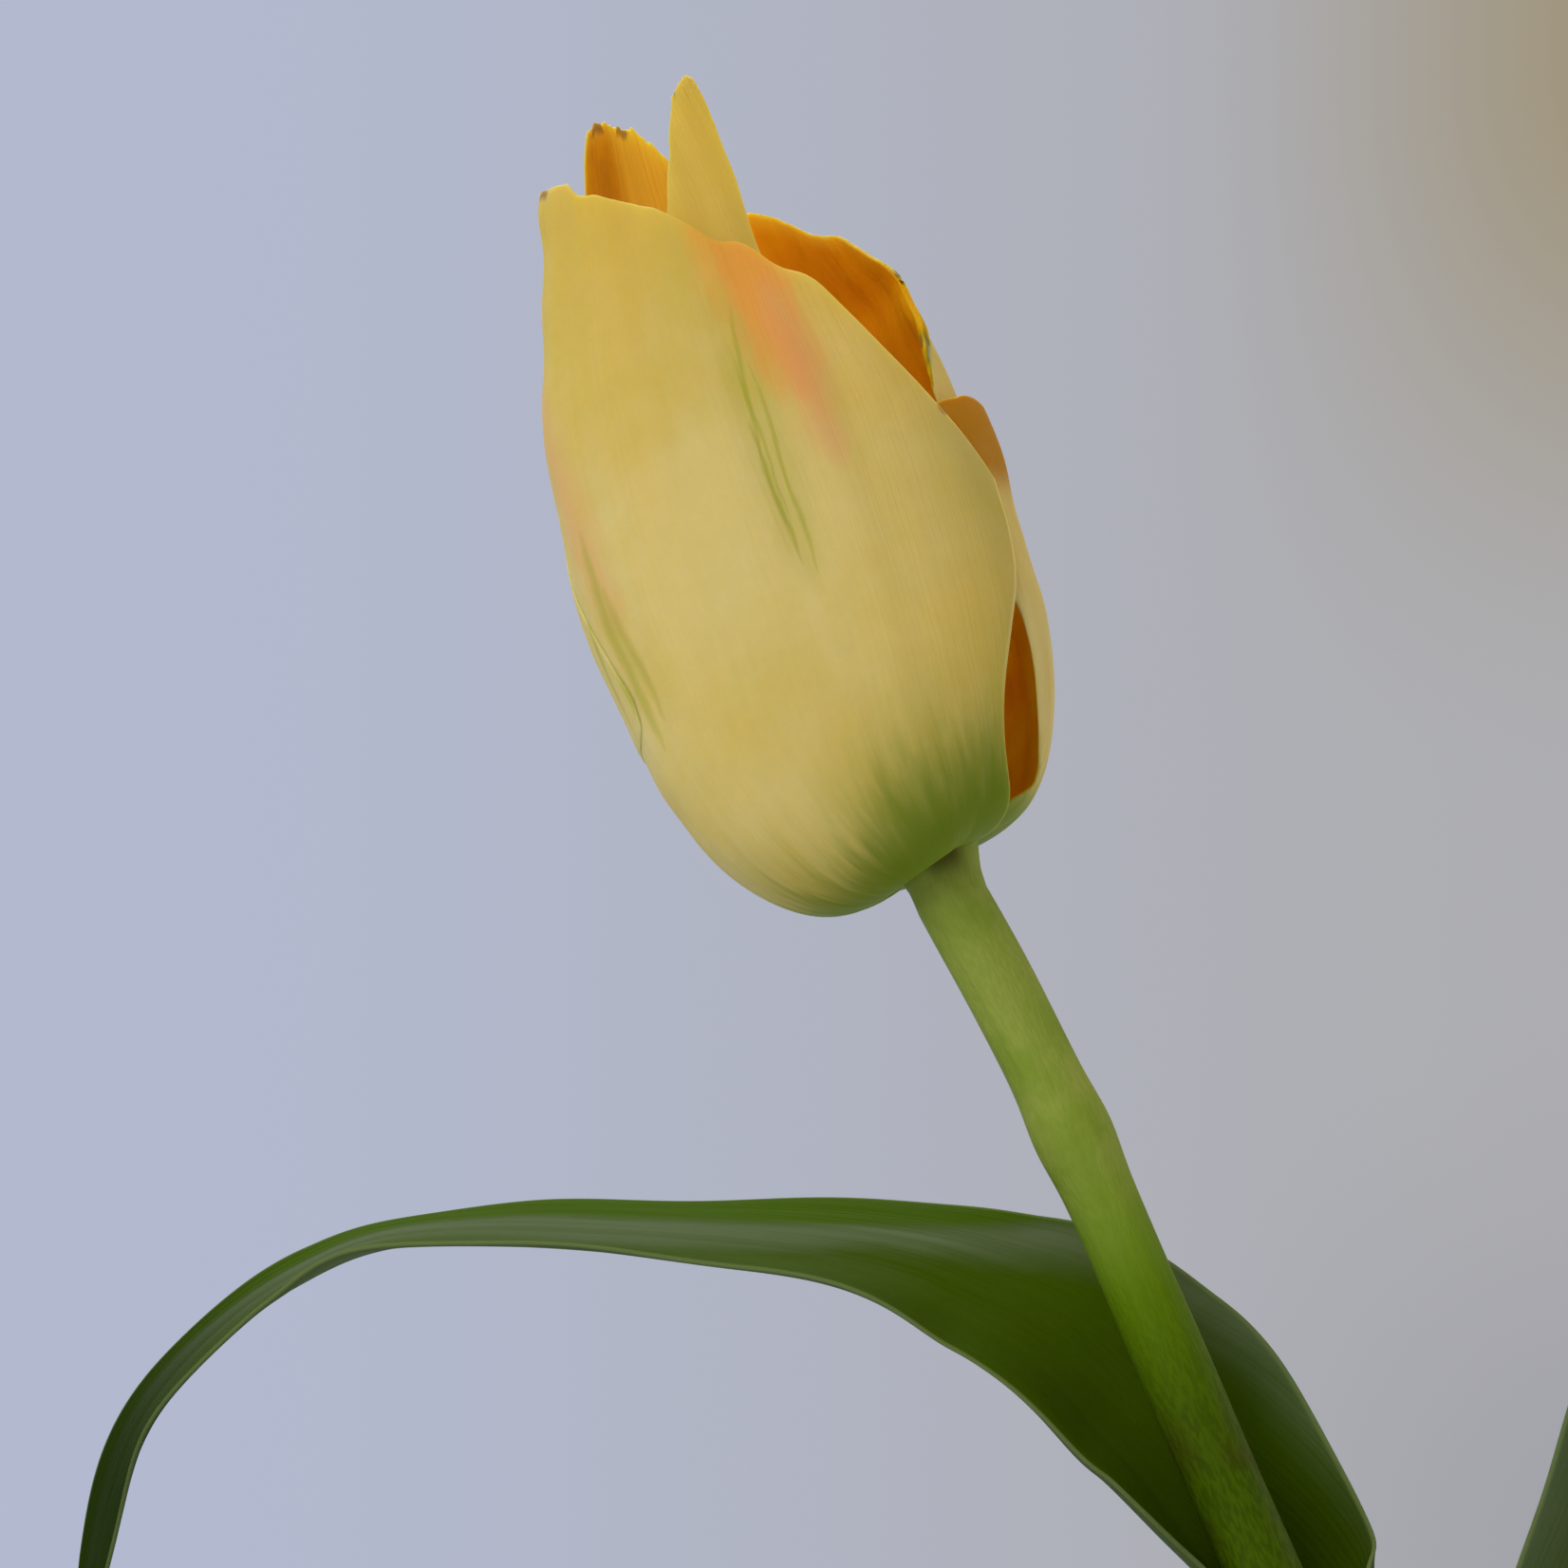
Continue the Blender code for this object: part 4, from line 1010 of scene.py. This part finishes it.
PETALS = {
    "front_petal": Petal(
        "petal_outer_front",
        left=((3, -99), (20, -98), (37, -96), (54, -94), (66, -90), (73, -88)),
        right=((3.3, 60), (9.6, 49.5), (14.3, 42.3), (18.6, 42.2), (24, 47.6), (29.1, 55.8), (33, 59.3),
               (36, 59.5)),
        top=((-88, 62.0), (-62, 61.0), (-47.5, 59.9), (-44.5, 59.1), (-31.3, 57.5), (-14, 55.0),
             (-3, 52.7), (4.9, 50.3), (15.3, 48.5), (19, 46.9), (29.6, 43.2), (32, 41.4), (40.2, 35.0),
             (46.5, 31.1), (53.4, 27.8), (59.5, 25.0)),
        tip_out=0.0010,
        creases=((-4, 3.5, 0.00025, 0.018, 0.054), (-46, 9, 0.00015, 0.022, 0.058),
                 (22, 8, 0.00012, 0.010, 0.045)),
        look={
            "streaks": (
                ((-14, 36.0), (-14, 17.0), 15.0, 3.0, PETAL_PALE, 0.60),
                ((4, 57.0), (13, 35.0), 5.0, 3.0, BLUSH, 0.85),
                ((10, 54.0), (19, 44.0), 3.0, 2.0, BLUSH, 0.70),
                ((15, 46.0), (15, 29.0), 3.0, 2.0, BLUSH_PINK, 0.55),
                ((-76, 48.0), (-58, 24.0), 4.0, 2.0, BLUSH_PINK, 0.45),
                ((0, 47.0), (-3, 20.0), 3.4, 2.0, VEIN_GREEN, 0.34),
                ((2, 44.5), (-4.6, 32.0), 0.42, 0.9, VEIN_GREEN, 0.62),
                ((-4.6, 35.0), (-4.2, 22.5), 0.40, 0.8, VEIN_GREEN, 0.75),
                ((-2.0, 41.0), (-3.0, 26.0), 0.30, 0.8, VEIN_GREEN, 0.50),
                ((1.8, 39.5), (-0.7, 21.5), 0.36, 0.8, VEIN_GREEN, 0.62),
                ((-63, 33.0), (-62, 14.0), 1.0, 0.8, VEIN_GREEN, 0.60),
                ((-60, 28.0), (-57, 16.0), 0.8, 0.8, VEIN_GREEN, 0.50),
                ((-6, 24.0), (-4, 12.0), 1.2, 1.5, PETAL_PALE, 0.5),
                ((38, 7.5), (31, 0.5), 0.7, 0.4, PETAL_PALE, 0.75),
            ),
            "dry": (((-86, 62.0), 2.0), ((-72, 61.4), 2.0), ((46.5, 31.1), 0.7)),
            "green": (19.0, 27.0),
            "pale_rims": (0.0, 0.5, 0.0),
            # the right side is painted darker as shade
            "shade": 0.55,
        },
    ),
    "left_back_petal": Petal(
        "petal_outer_left",
        left=((3, -184), (22, -190), (40, -196), (58, -196), (70, -188), (76, -184)),
        right=((3, -112), (15, -112), (22, -108), (25.3, -97), (27.3, -70), (29, -66.5), (33, -68.5),
               (37, -73), (41, -80), (46, -89), (50, -98), (54, -110), (62, -128), (70, -131),
               (75.4, -134.6), (78.4, -136), (80, -138.3)),
        top=((-184, 62.5), (-179.2, 64.2), (-173.6, 65.6), (-167.8, 66.7), (-162.6, 66.9),
             (-154.3, 67.5), (-144.3, 67.7), (-138.3, 67.2)),
        layer=-0.0002, left_lift=0.0009, shelf=0.00005, lift_span=(0.2, 0.64), tip_out=0.002, ragged=0.0001,
        look={
            "streaks": (
                ((-67, 34.0), (-66, 14.0), 0.9, 0.5, VEIN_GREEN, 0.8),
                ((-72, 31.0), (-74, 16.0), 0.5, 0.8, VEIN_GREEN, 0.6),
            ),
            "dry": (((-145, 67.4), 1.8), ((-162, 66.8), 1.2)),
            "green": (15.0, 15.0),
            "ochre": (-150, -164),
            # its inside is painted darker as shade
            "inside_colour": PETAL_SHADED_ORANGE,
        },
    ),
    "right_petal": Petal(
        "petal_outer_right",
        left=((3.5, 60), (7.5, 57), (9.5, 58), (10.5, 68), (11.6, 78), (12.8, 75.5), (14, 70),
              (16.1, 65.6), (18.3, 62.8), (21.1, 60.5), (23.3, 58.5), (25.6, 56), (27.5, 52), (30, 45),
              (32, 40)),
        right=((3.5, 150), (12, 170), (24, 184), (36, 188), (47, 186)),
        top=((40, 31.6), (50, 32.2), (62, 32.6), (80, 31.8), (90, 31.8), (98, 33.0), (108, 35.9),
             (115.6, 36.5), (128, 41.0), (140, 47.0), (150, 51.0), (163, 53.0), (175, 49.0),
             (186, 38.0)),
        layer=0.0008, root_radius=0.0034,
        # its inside is painted bright, as light shining through from behind
        look={"green": (18.0, 18.0), "pale_rims": (2.2, 0.0, 0.0), "inside_colour": PETAL_PAINTED_GLOW,
              "lip": (26.0, 100)},
    ),
    "pointed_petal": Petal(
        "petal_inner_front",
        left=((3, -44), (22, -44), (41, -37), (57, -27), (62, -17), (66.7, -7.4), (70.3, -1.7),
              (71.6, 1.2), (73.5, 4), (75.8, 9.7), (78.2, 16.8)),
        right=((3, 34), (22, 38), (41, 50), (52, 34), (57, 23), (60, 20.9), (61, 20.9), (64.3, 22.0),
               (67.7, 23.7), (70.8, 25.2), (74, 27.6), (76.5, 29.7), (78.7, 31)),
        top=((16.8, 65.0), (23.8, 66.0), (29.5, 66.3), (31, 66.0)),
        layer=0.0022, right_lift=-0.0032, lift_span=(0.0, 0.85), tip_out=0.003, ragged=0.00003,
        look={"green": (9.0, 9.0), "dry": (((18.5, 65.8), 0.8),)},
    ),
    "inner_left_petal": Petal(
        "petal_inner_left",
        left=((3, -112), (17, -122), (30, -120), (44, -112), (57, -100)),
        right=((3, -52), (17, -48), (30, -48), (44, -52), (57, -62)),
        top=((-100, 46.0), (-90, 53.5), (-81, 56.0), (-72, 53.5), (-62, 46.0)),
        layer=0.0020,
        look={"green": (9.0, 9.0)},
    ),
    "inner_back_petal": Petal(
        "petal_inner_back",
        left=((3, 150), (16.5, 150), (28, 125), (35, 80), (38, 66), (42, 60), (45.1, 60), (46.8, 63),
              (49.6, 71), (51.9, 78), (53.8, 82), (55.5, 84)),
        right=((3, 206), (14.5, 216), (25.6, 222), (36.7, 220), (48, 212)),
        top=((84, 44.6), (86, 46.8), (90, 48.0), (99, 50.2), (123, 53.7), (137, 56.1), (148.5, 57.4),
             (158, 57.3), (170, 55), (190, 48), (212, 36.8)),
        layer=0.0024, left_lift=0.0006, lift_span=(0.86, 1.14), tip_out=0.0012,
        look={"green": (9.0, 9.0)},
    ),
}


# Flower centre

STAMENS = 6
PISTIL_FOOT = 0.0011
PISTIL_PROFILE = ((0.0022, 0.0), (0.0028, 0.0019), (0.0030, 0.0094), (0.0026, 0.0174), (0.0018, 0.0199))
LOBES = 3
LOBE_ROUTE = ((0.0, 0.0186), (0.0018, 0.0202), (0.0034, 0.0206), (0.0040, 0.0194))
LOBE_RADII = (0.0013, 0.0015, 0.0012, 0.0006)
STAMEN_ROUTE = (
    (0.0018, 0.0016),
    (0.0034, 0.0042),
    (0.0050, 0.0084),
    (0.0056, 0.0099),
    (0.0058, 0.0144),
    (0.0060, 0.0194),
)
STAMEN_RADII = (0.0007, 0.0006, 0.0005, 0.0012, 0.0012, 0.0005)
STAMEN_STAGGER = 0.0003
GROWN_STEP = 0.00022


def make_flower_centre():
    """Pistil, lobes and stamens, grown together by a fine voxel skin."""
    origin = np.array(JOINT) + UP * PISTIL_FOOT

    def grow(route, radii, turn, outward=0.0):
        """A tube through (reach, rise) places with these radii. Outward moves its upper part out."""
        side = RIGHT * math.sin(turn) - BACK * math.cos(turn)
        rows = []
        for k, ((reach, rise), radius) in enumerate(zip(route, radii)):
            reach = reach + outward * (k > 1)
            rows.append((*(origin + side * reach + UP * rise), radius))
        rows = smooth_route(rows, 24)
        return round_body("grown", rows[:, :3], rows[:, 3], 14)

    parts = [grow([(0.0, rise) for _, rise in PISTIL_PROFILE], [radius for radius, _ in PISTIL_PROFILE], 0.0)]
    for lobe in range(LOBES):
        parts.append(grow(LOBE_ROUTE, LOBE_RADII, math.radians(30) + 2 * math.pi / LOBES * lobe))
    for stamen in range(STAMENS):
        turn = 2 * math.pi / STAMENS * stamen
        parts.append(grow(STAMEN_ROUTE, STAMEN_RADII, turn, STAMEN_STAGGER * (stamen % 2)))
    bpy.ops.object.select_all(action="DESELECT")
    for part in parts:
        part.select_set(True)
    bpy.context.view_layer.objects.active = parts[0]
    bpy.ops.object.join()
    piece = parts[0]
    piece.name = "pistil_and_stamens"
    skin = piece.modifiers.new("skin", "REMESH")
    skin.mode = "VOXEL"
    skin.voxel_size = GROWN_STEP
    soft = piece.modifiers.new("soft", "SMOOTH")
    soft.iterations = 2
    keep_modifiers(piece)
    points = np.array([tuple(v.co) for v in piece.data.vertices]) - origin
    up_part = points @ UP
    away = np.linalg.norm(points - np.outer(up_part, UP), axis=1)
    add_field(piece.data, "place", np.column_stack([away, up_part, np.zeros(len(points))]) / MM)
    dress(piece, pollen_skin(), "flower_centre")


# Leaves

CLASP_RADIUS = LOWER_STEM_RADIUS + SEAT_GAP + LEAF_THICKNESS / 2 + 0.0002


def station(across_right, back, above, half_width, channel, near):
    """One place along a leaf: middle from the joint, half width, channel bend (radians), near edge's way."""
    return (*(JOINT + Vector((across_right, back, above))), half_width, channel, *Vector(near).normalized())


def clasp(height, side, half_width, radius=CLASP_RADIUS):
    """Where a leaf wraps round the stem: its midrib lies on the side given by an angle from the back."""
    along = Vector((-math.sin(LOWER_LEAN), 0.0, math.cos(LOWER_LEAN)))
    outward = Vector((math.cos(LOWER_LEAN), 0.0, math.sin(LOWER_LEAN))) * math.sin(side)
    outward += Vector((0.0, 1.0, 0.0)) * math.cos(side)
    middle = stem_point(height) + outward * radius
    return (*middle, half_width, 2 * half_width / radius, *along.cross(outward))


ARCHING_LEAF = (
    clasp(0.146, math.radians(20), 0.0090),
    clasp(0.158, math.radians(22), 0.0112, CLASP_RADIUS + 0.0008),
    station(0.0283, 0.0082, -0.0600, 0.0102, 3.1, (-0.86, -0.44, -0.32)),
    station(0.0222, 0.0068, -0.0533, 0.0125, 2.35, (-0.65, -0.68, -0.35)),
    station(0.0150, 0.0055, -0.0458, 0.0156, 1.5, (-0.47, -0.82, -0.33)),
    station(0.0045, 0.0055, -0.0371, 0.0163, 0.75, (-0.32, -0.92, -0.24)),
    station(-0.0113, 0.0085, -0.0323, 0.0151, 0.43, (-0.26, -0.96, -0.12)),
    station(-0.0365, 0.0155, -0.0311, 0.0110, 0.30, (-0.30, -0.95, -0.085)),
    station(-0.0530, 0.0215, -0.0355, 0.0072, 0.22, (-0.05, -0.98, -0.17)),
    station(-0.0632, 0.0265, -0.0442, 0.0068, 0.26, (0.08, -0.95, -0.22)),
    station(-0.0695, 0.0297, -0.0590, 0.0034, 0.32, (0.40, -0.90, -0.16)),
    station(-0.0712, 0.0298, -0.0740, 0.0006, 0.20, (0.50, -0.86, -0.06)),
)

RIGHT_LEAF = (
    clasp(0.126, math.radians(70), 0.0095),
    clasp(0.134, math.radians(70), 0.0118, CLASP_RADIUS + 0.0006),
    clasp(0.145, math.radians(68), 0.0148, 0.0090),
    station(0.0620, 0.0120, -0.0600, 0.0155, 1.4, (0.80, 0.58, -0.15)),
    station(0.0730, 0.0190, -0.0370, 0.0175, 1.0, (0.78, 0.55, -0.25)),
    station(0.0870, 0.0270, -0.0100, 0.0165, 0.8, (0.65, 0.70, -0.3)),
    station(0.1030, 0.0340, 0.0130, 0.0135, 0.7, (0.45, 0.85, -0.3)),
    station(0.1210, 0.0400, 0.0290, 0.0085, 0.5, (0.2, 0.95, -0.1)),
    station(0.1400, 0.0440, 0.0330, 0.0008, 0.1, (0.0, 1.0, 0.0)),
)


def make_leaf(name, node, stations, dull=0.0):
    """A leaf along its stations, bent across into a channel, with a keel, ribs and ruffled margins."""
    rows = smooth_route(stations, LEAF_ROWS + 1)
    middle = rows[:, :3]
    along = unit(np.gradient(middle, axis=0))
    near = rows[:, 5:8]
    near = unit(near - along * np.sum(near * along, axis=1, keepdims=True))
    face = np.cross(along, near)
    half_width = rows[:, 3:4]
    bend = np.maximum(rows[:, 4:5], 0.01) / (2 * half_width)
    across = np.linspace(-1, 1, LEAF_COLUMNS + 1)[None]
    turn = bend * half_width * across
    reach = np.sin(turn) / bend
    rise = (1 - np.cos(turn)) / bend
    share = np.linspace(0, 1, LEAF_ROWS + 1)[:, None]
    free = smooth_step(share, 0.18, 0.35)
    keel = -LEAF_KEEL * bell(across, 0.0, 0.09) * free
    ribs = LEAF_RIB * np.sin(across * 34) * free
    ruffle = LEAF_RUFFLE * free * np.abs(across) ** 3 * np.sin(share * 46 + 1.3 * np.sign(across))
    rise = rise + keel + ribs + ruffle * np.minimum(1.0, half_width / 0.008)
    points = middle[:, None] + near[:, None] * reach[..., None] + face[:, None] * rise[..., None]
    to_edge = np.minimum((1 - np.abs(across)) * half_width, (1 - share) * 0.2)
    thin_margin = 1 - MARGIN_THINNING * np.exp(-to_edge / LEAF_MARGIN_WIDTH)
    thickness = LEAF_THICKNESS * thin_margin * (1 + 0.25 * bell(across, 0.0, 0.1))
    length = running_length(middle)[:, None]
    zero = np.zeros_like(reach)
    place = np.stack([across * half_width / MM + zero, length / MM + zero, zero], axis=-1)
    rim = np.stack([to_edge / MM + zero, zero, zero], axis=-1)
    depth = np.stack([share + zero, across + zero, zero], axis=-1)
    piece = blade(name, points, thickness + zero, place, rim, depth)
    dress(piece, leaf_skin(name.replace("_", " ") + " skin", dull), node)


# Stage, light and camera


def make_stage():
    bpy.ops.mesh.primitive_circle_add(vertices=96, radius=1.1, fill_type="NGON")
    floor = bpy.context.object
    floor.name = "pale_floor"
    floor.data.materials.append(stage_skin("pale floor", (0.60, 0.61, 0.64), 0.7))


def soft_light(name, place, target, size, power, colour):
    light = bpy.data.lights.new(name, "AREA")
    light.shape = "SQUARE"
    light.size = size
    light.energy = power
    light.color = colour
    lamp = new_object(name, light)
    lamp.location = place
    lamp.rotation_euler = (Vector(target) - Vector(place)).to_track_quat("-Z", "Y").to_euler()


def make_world():
    """A pale blue-grey surround that turns to warm grey on the right."""
    world = bpy.data.worlds.new("soft surround")
    bpy.context.scene.world = world
    world.use_nodes = True
    world.node_tree.nodes.clear()
    nodes = Nodes(world.node_tree)
    x, _, z = nodes.split(nodes.add("ShaderNodeTexCoord").outputs["Generated"])
    colour = nodes.mix(nodes.fade(x, -0.10, 0.11), (0.450, 0.490, 0.630), (0.42, 0.42, 0.44))
    warm = nodes.times(nodes.fade(x, 0.045, 0.115), nodes.fade(z, 0.0, 0.095))
    colour = nodes.tint(colour, (0.345, 0.285, 0.17), warm, 0.9)
    grey = nodes.times(nodes.fade(x, 0.04, 0.11), nodes.fade(z, -0.03, -0.10))
    colour = nodes.tint(colour, (0.34, 0.34, 0.385), grey, 0.7)
    back = nodes.add("ShaderNodeBackground", {"Color": colour, "Strength": 1.0})
    nodes.add("ShaderNodeOutputWorld", {"Surface": back.outputs[0]})


def make_camera():
    data = bpy.data.cameras.new("photo view")
    data.sensor_width = SENSOR
    data.lens = SENSOR * CAMERA_DISTANCE / FRAME_WIDTH
    data.clip_start = 0.01
    camera = new_object("photo view", data)
    camera.location = FRAME_CENTRE + Vector((0.0, -CAMERA_DISTANCE, 0.0))
    camera.rotation_euler = (math.pi / 2, 0.0, 0.0)
    bpy.context.scene.camera = camera


route = stem_route()
make_vase()
make_water(route)
make_stem(route)
make_leaf("arching_leaf", "leaf_arching", ARCHING_LEAF)
make_leaf("right_leaf", "leaf_right", RIGHT_LEAF, dull=0.45)
for name, petal in PETALS.items():
    make_petal(name, petal)
make_flower_centre()

make_stage()
make_world()
soft_light("window", (-0.62, -0.85, 0.85), (-0.08, 0.0, 0.24), 0.8, 9.0, (1.0, 0.97, 0.92))
soft_light("sky", (-0.25, 0.75, 0.95), (-0.10, 0.0, 0.2), 0.9, 7.0, (0.92, 0.95, 1.0))
soft_light("wall", (0.85, 0.40, 0.40), (-0.05, 0.0, 0.2), 0.8, 3.5, (1.0, 0.96, 0.90))
make_camera()
bpy.context.scene.view_settings.view_transform = "Standard"
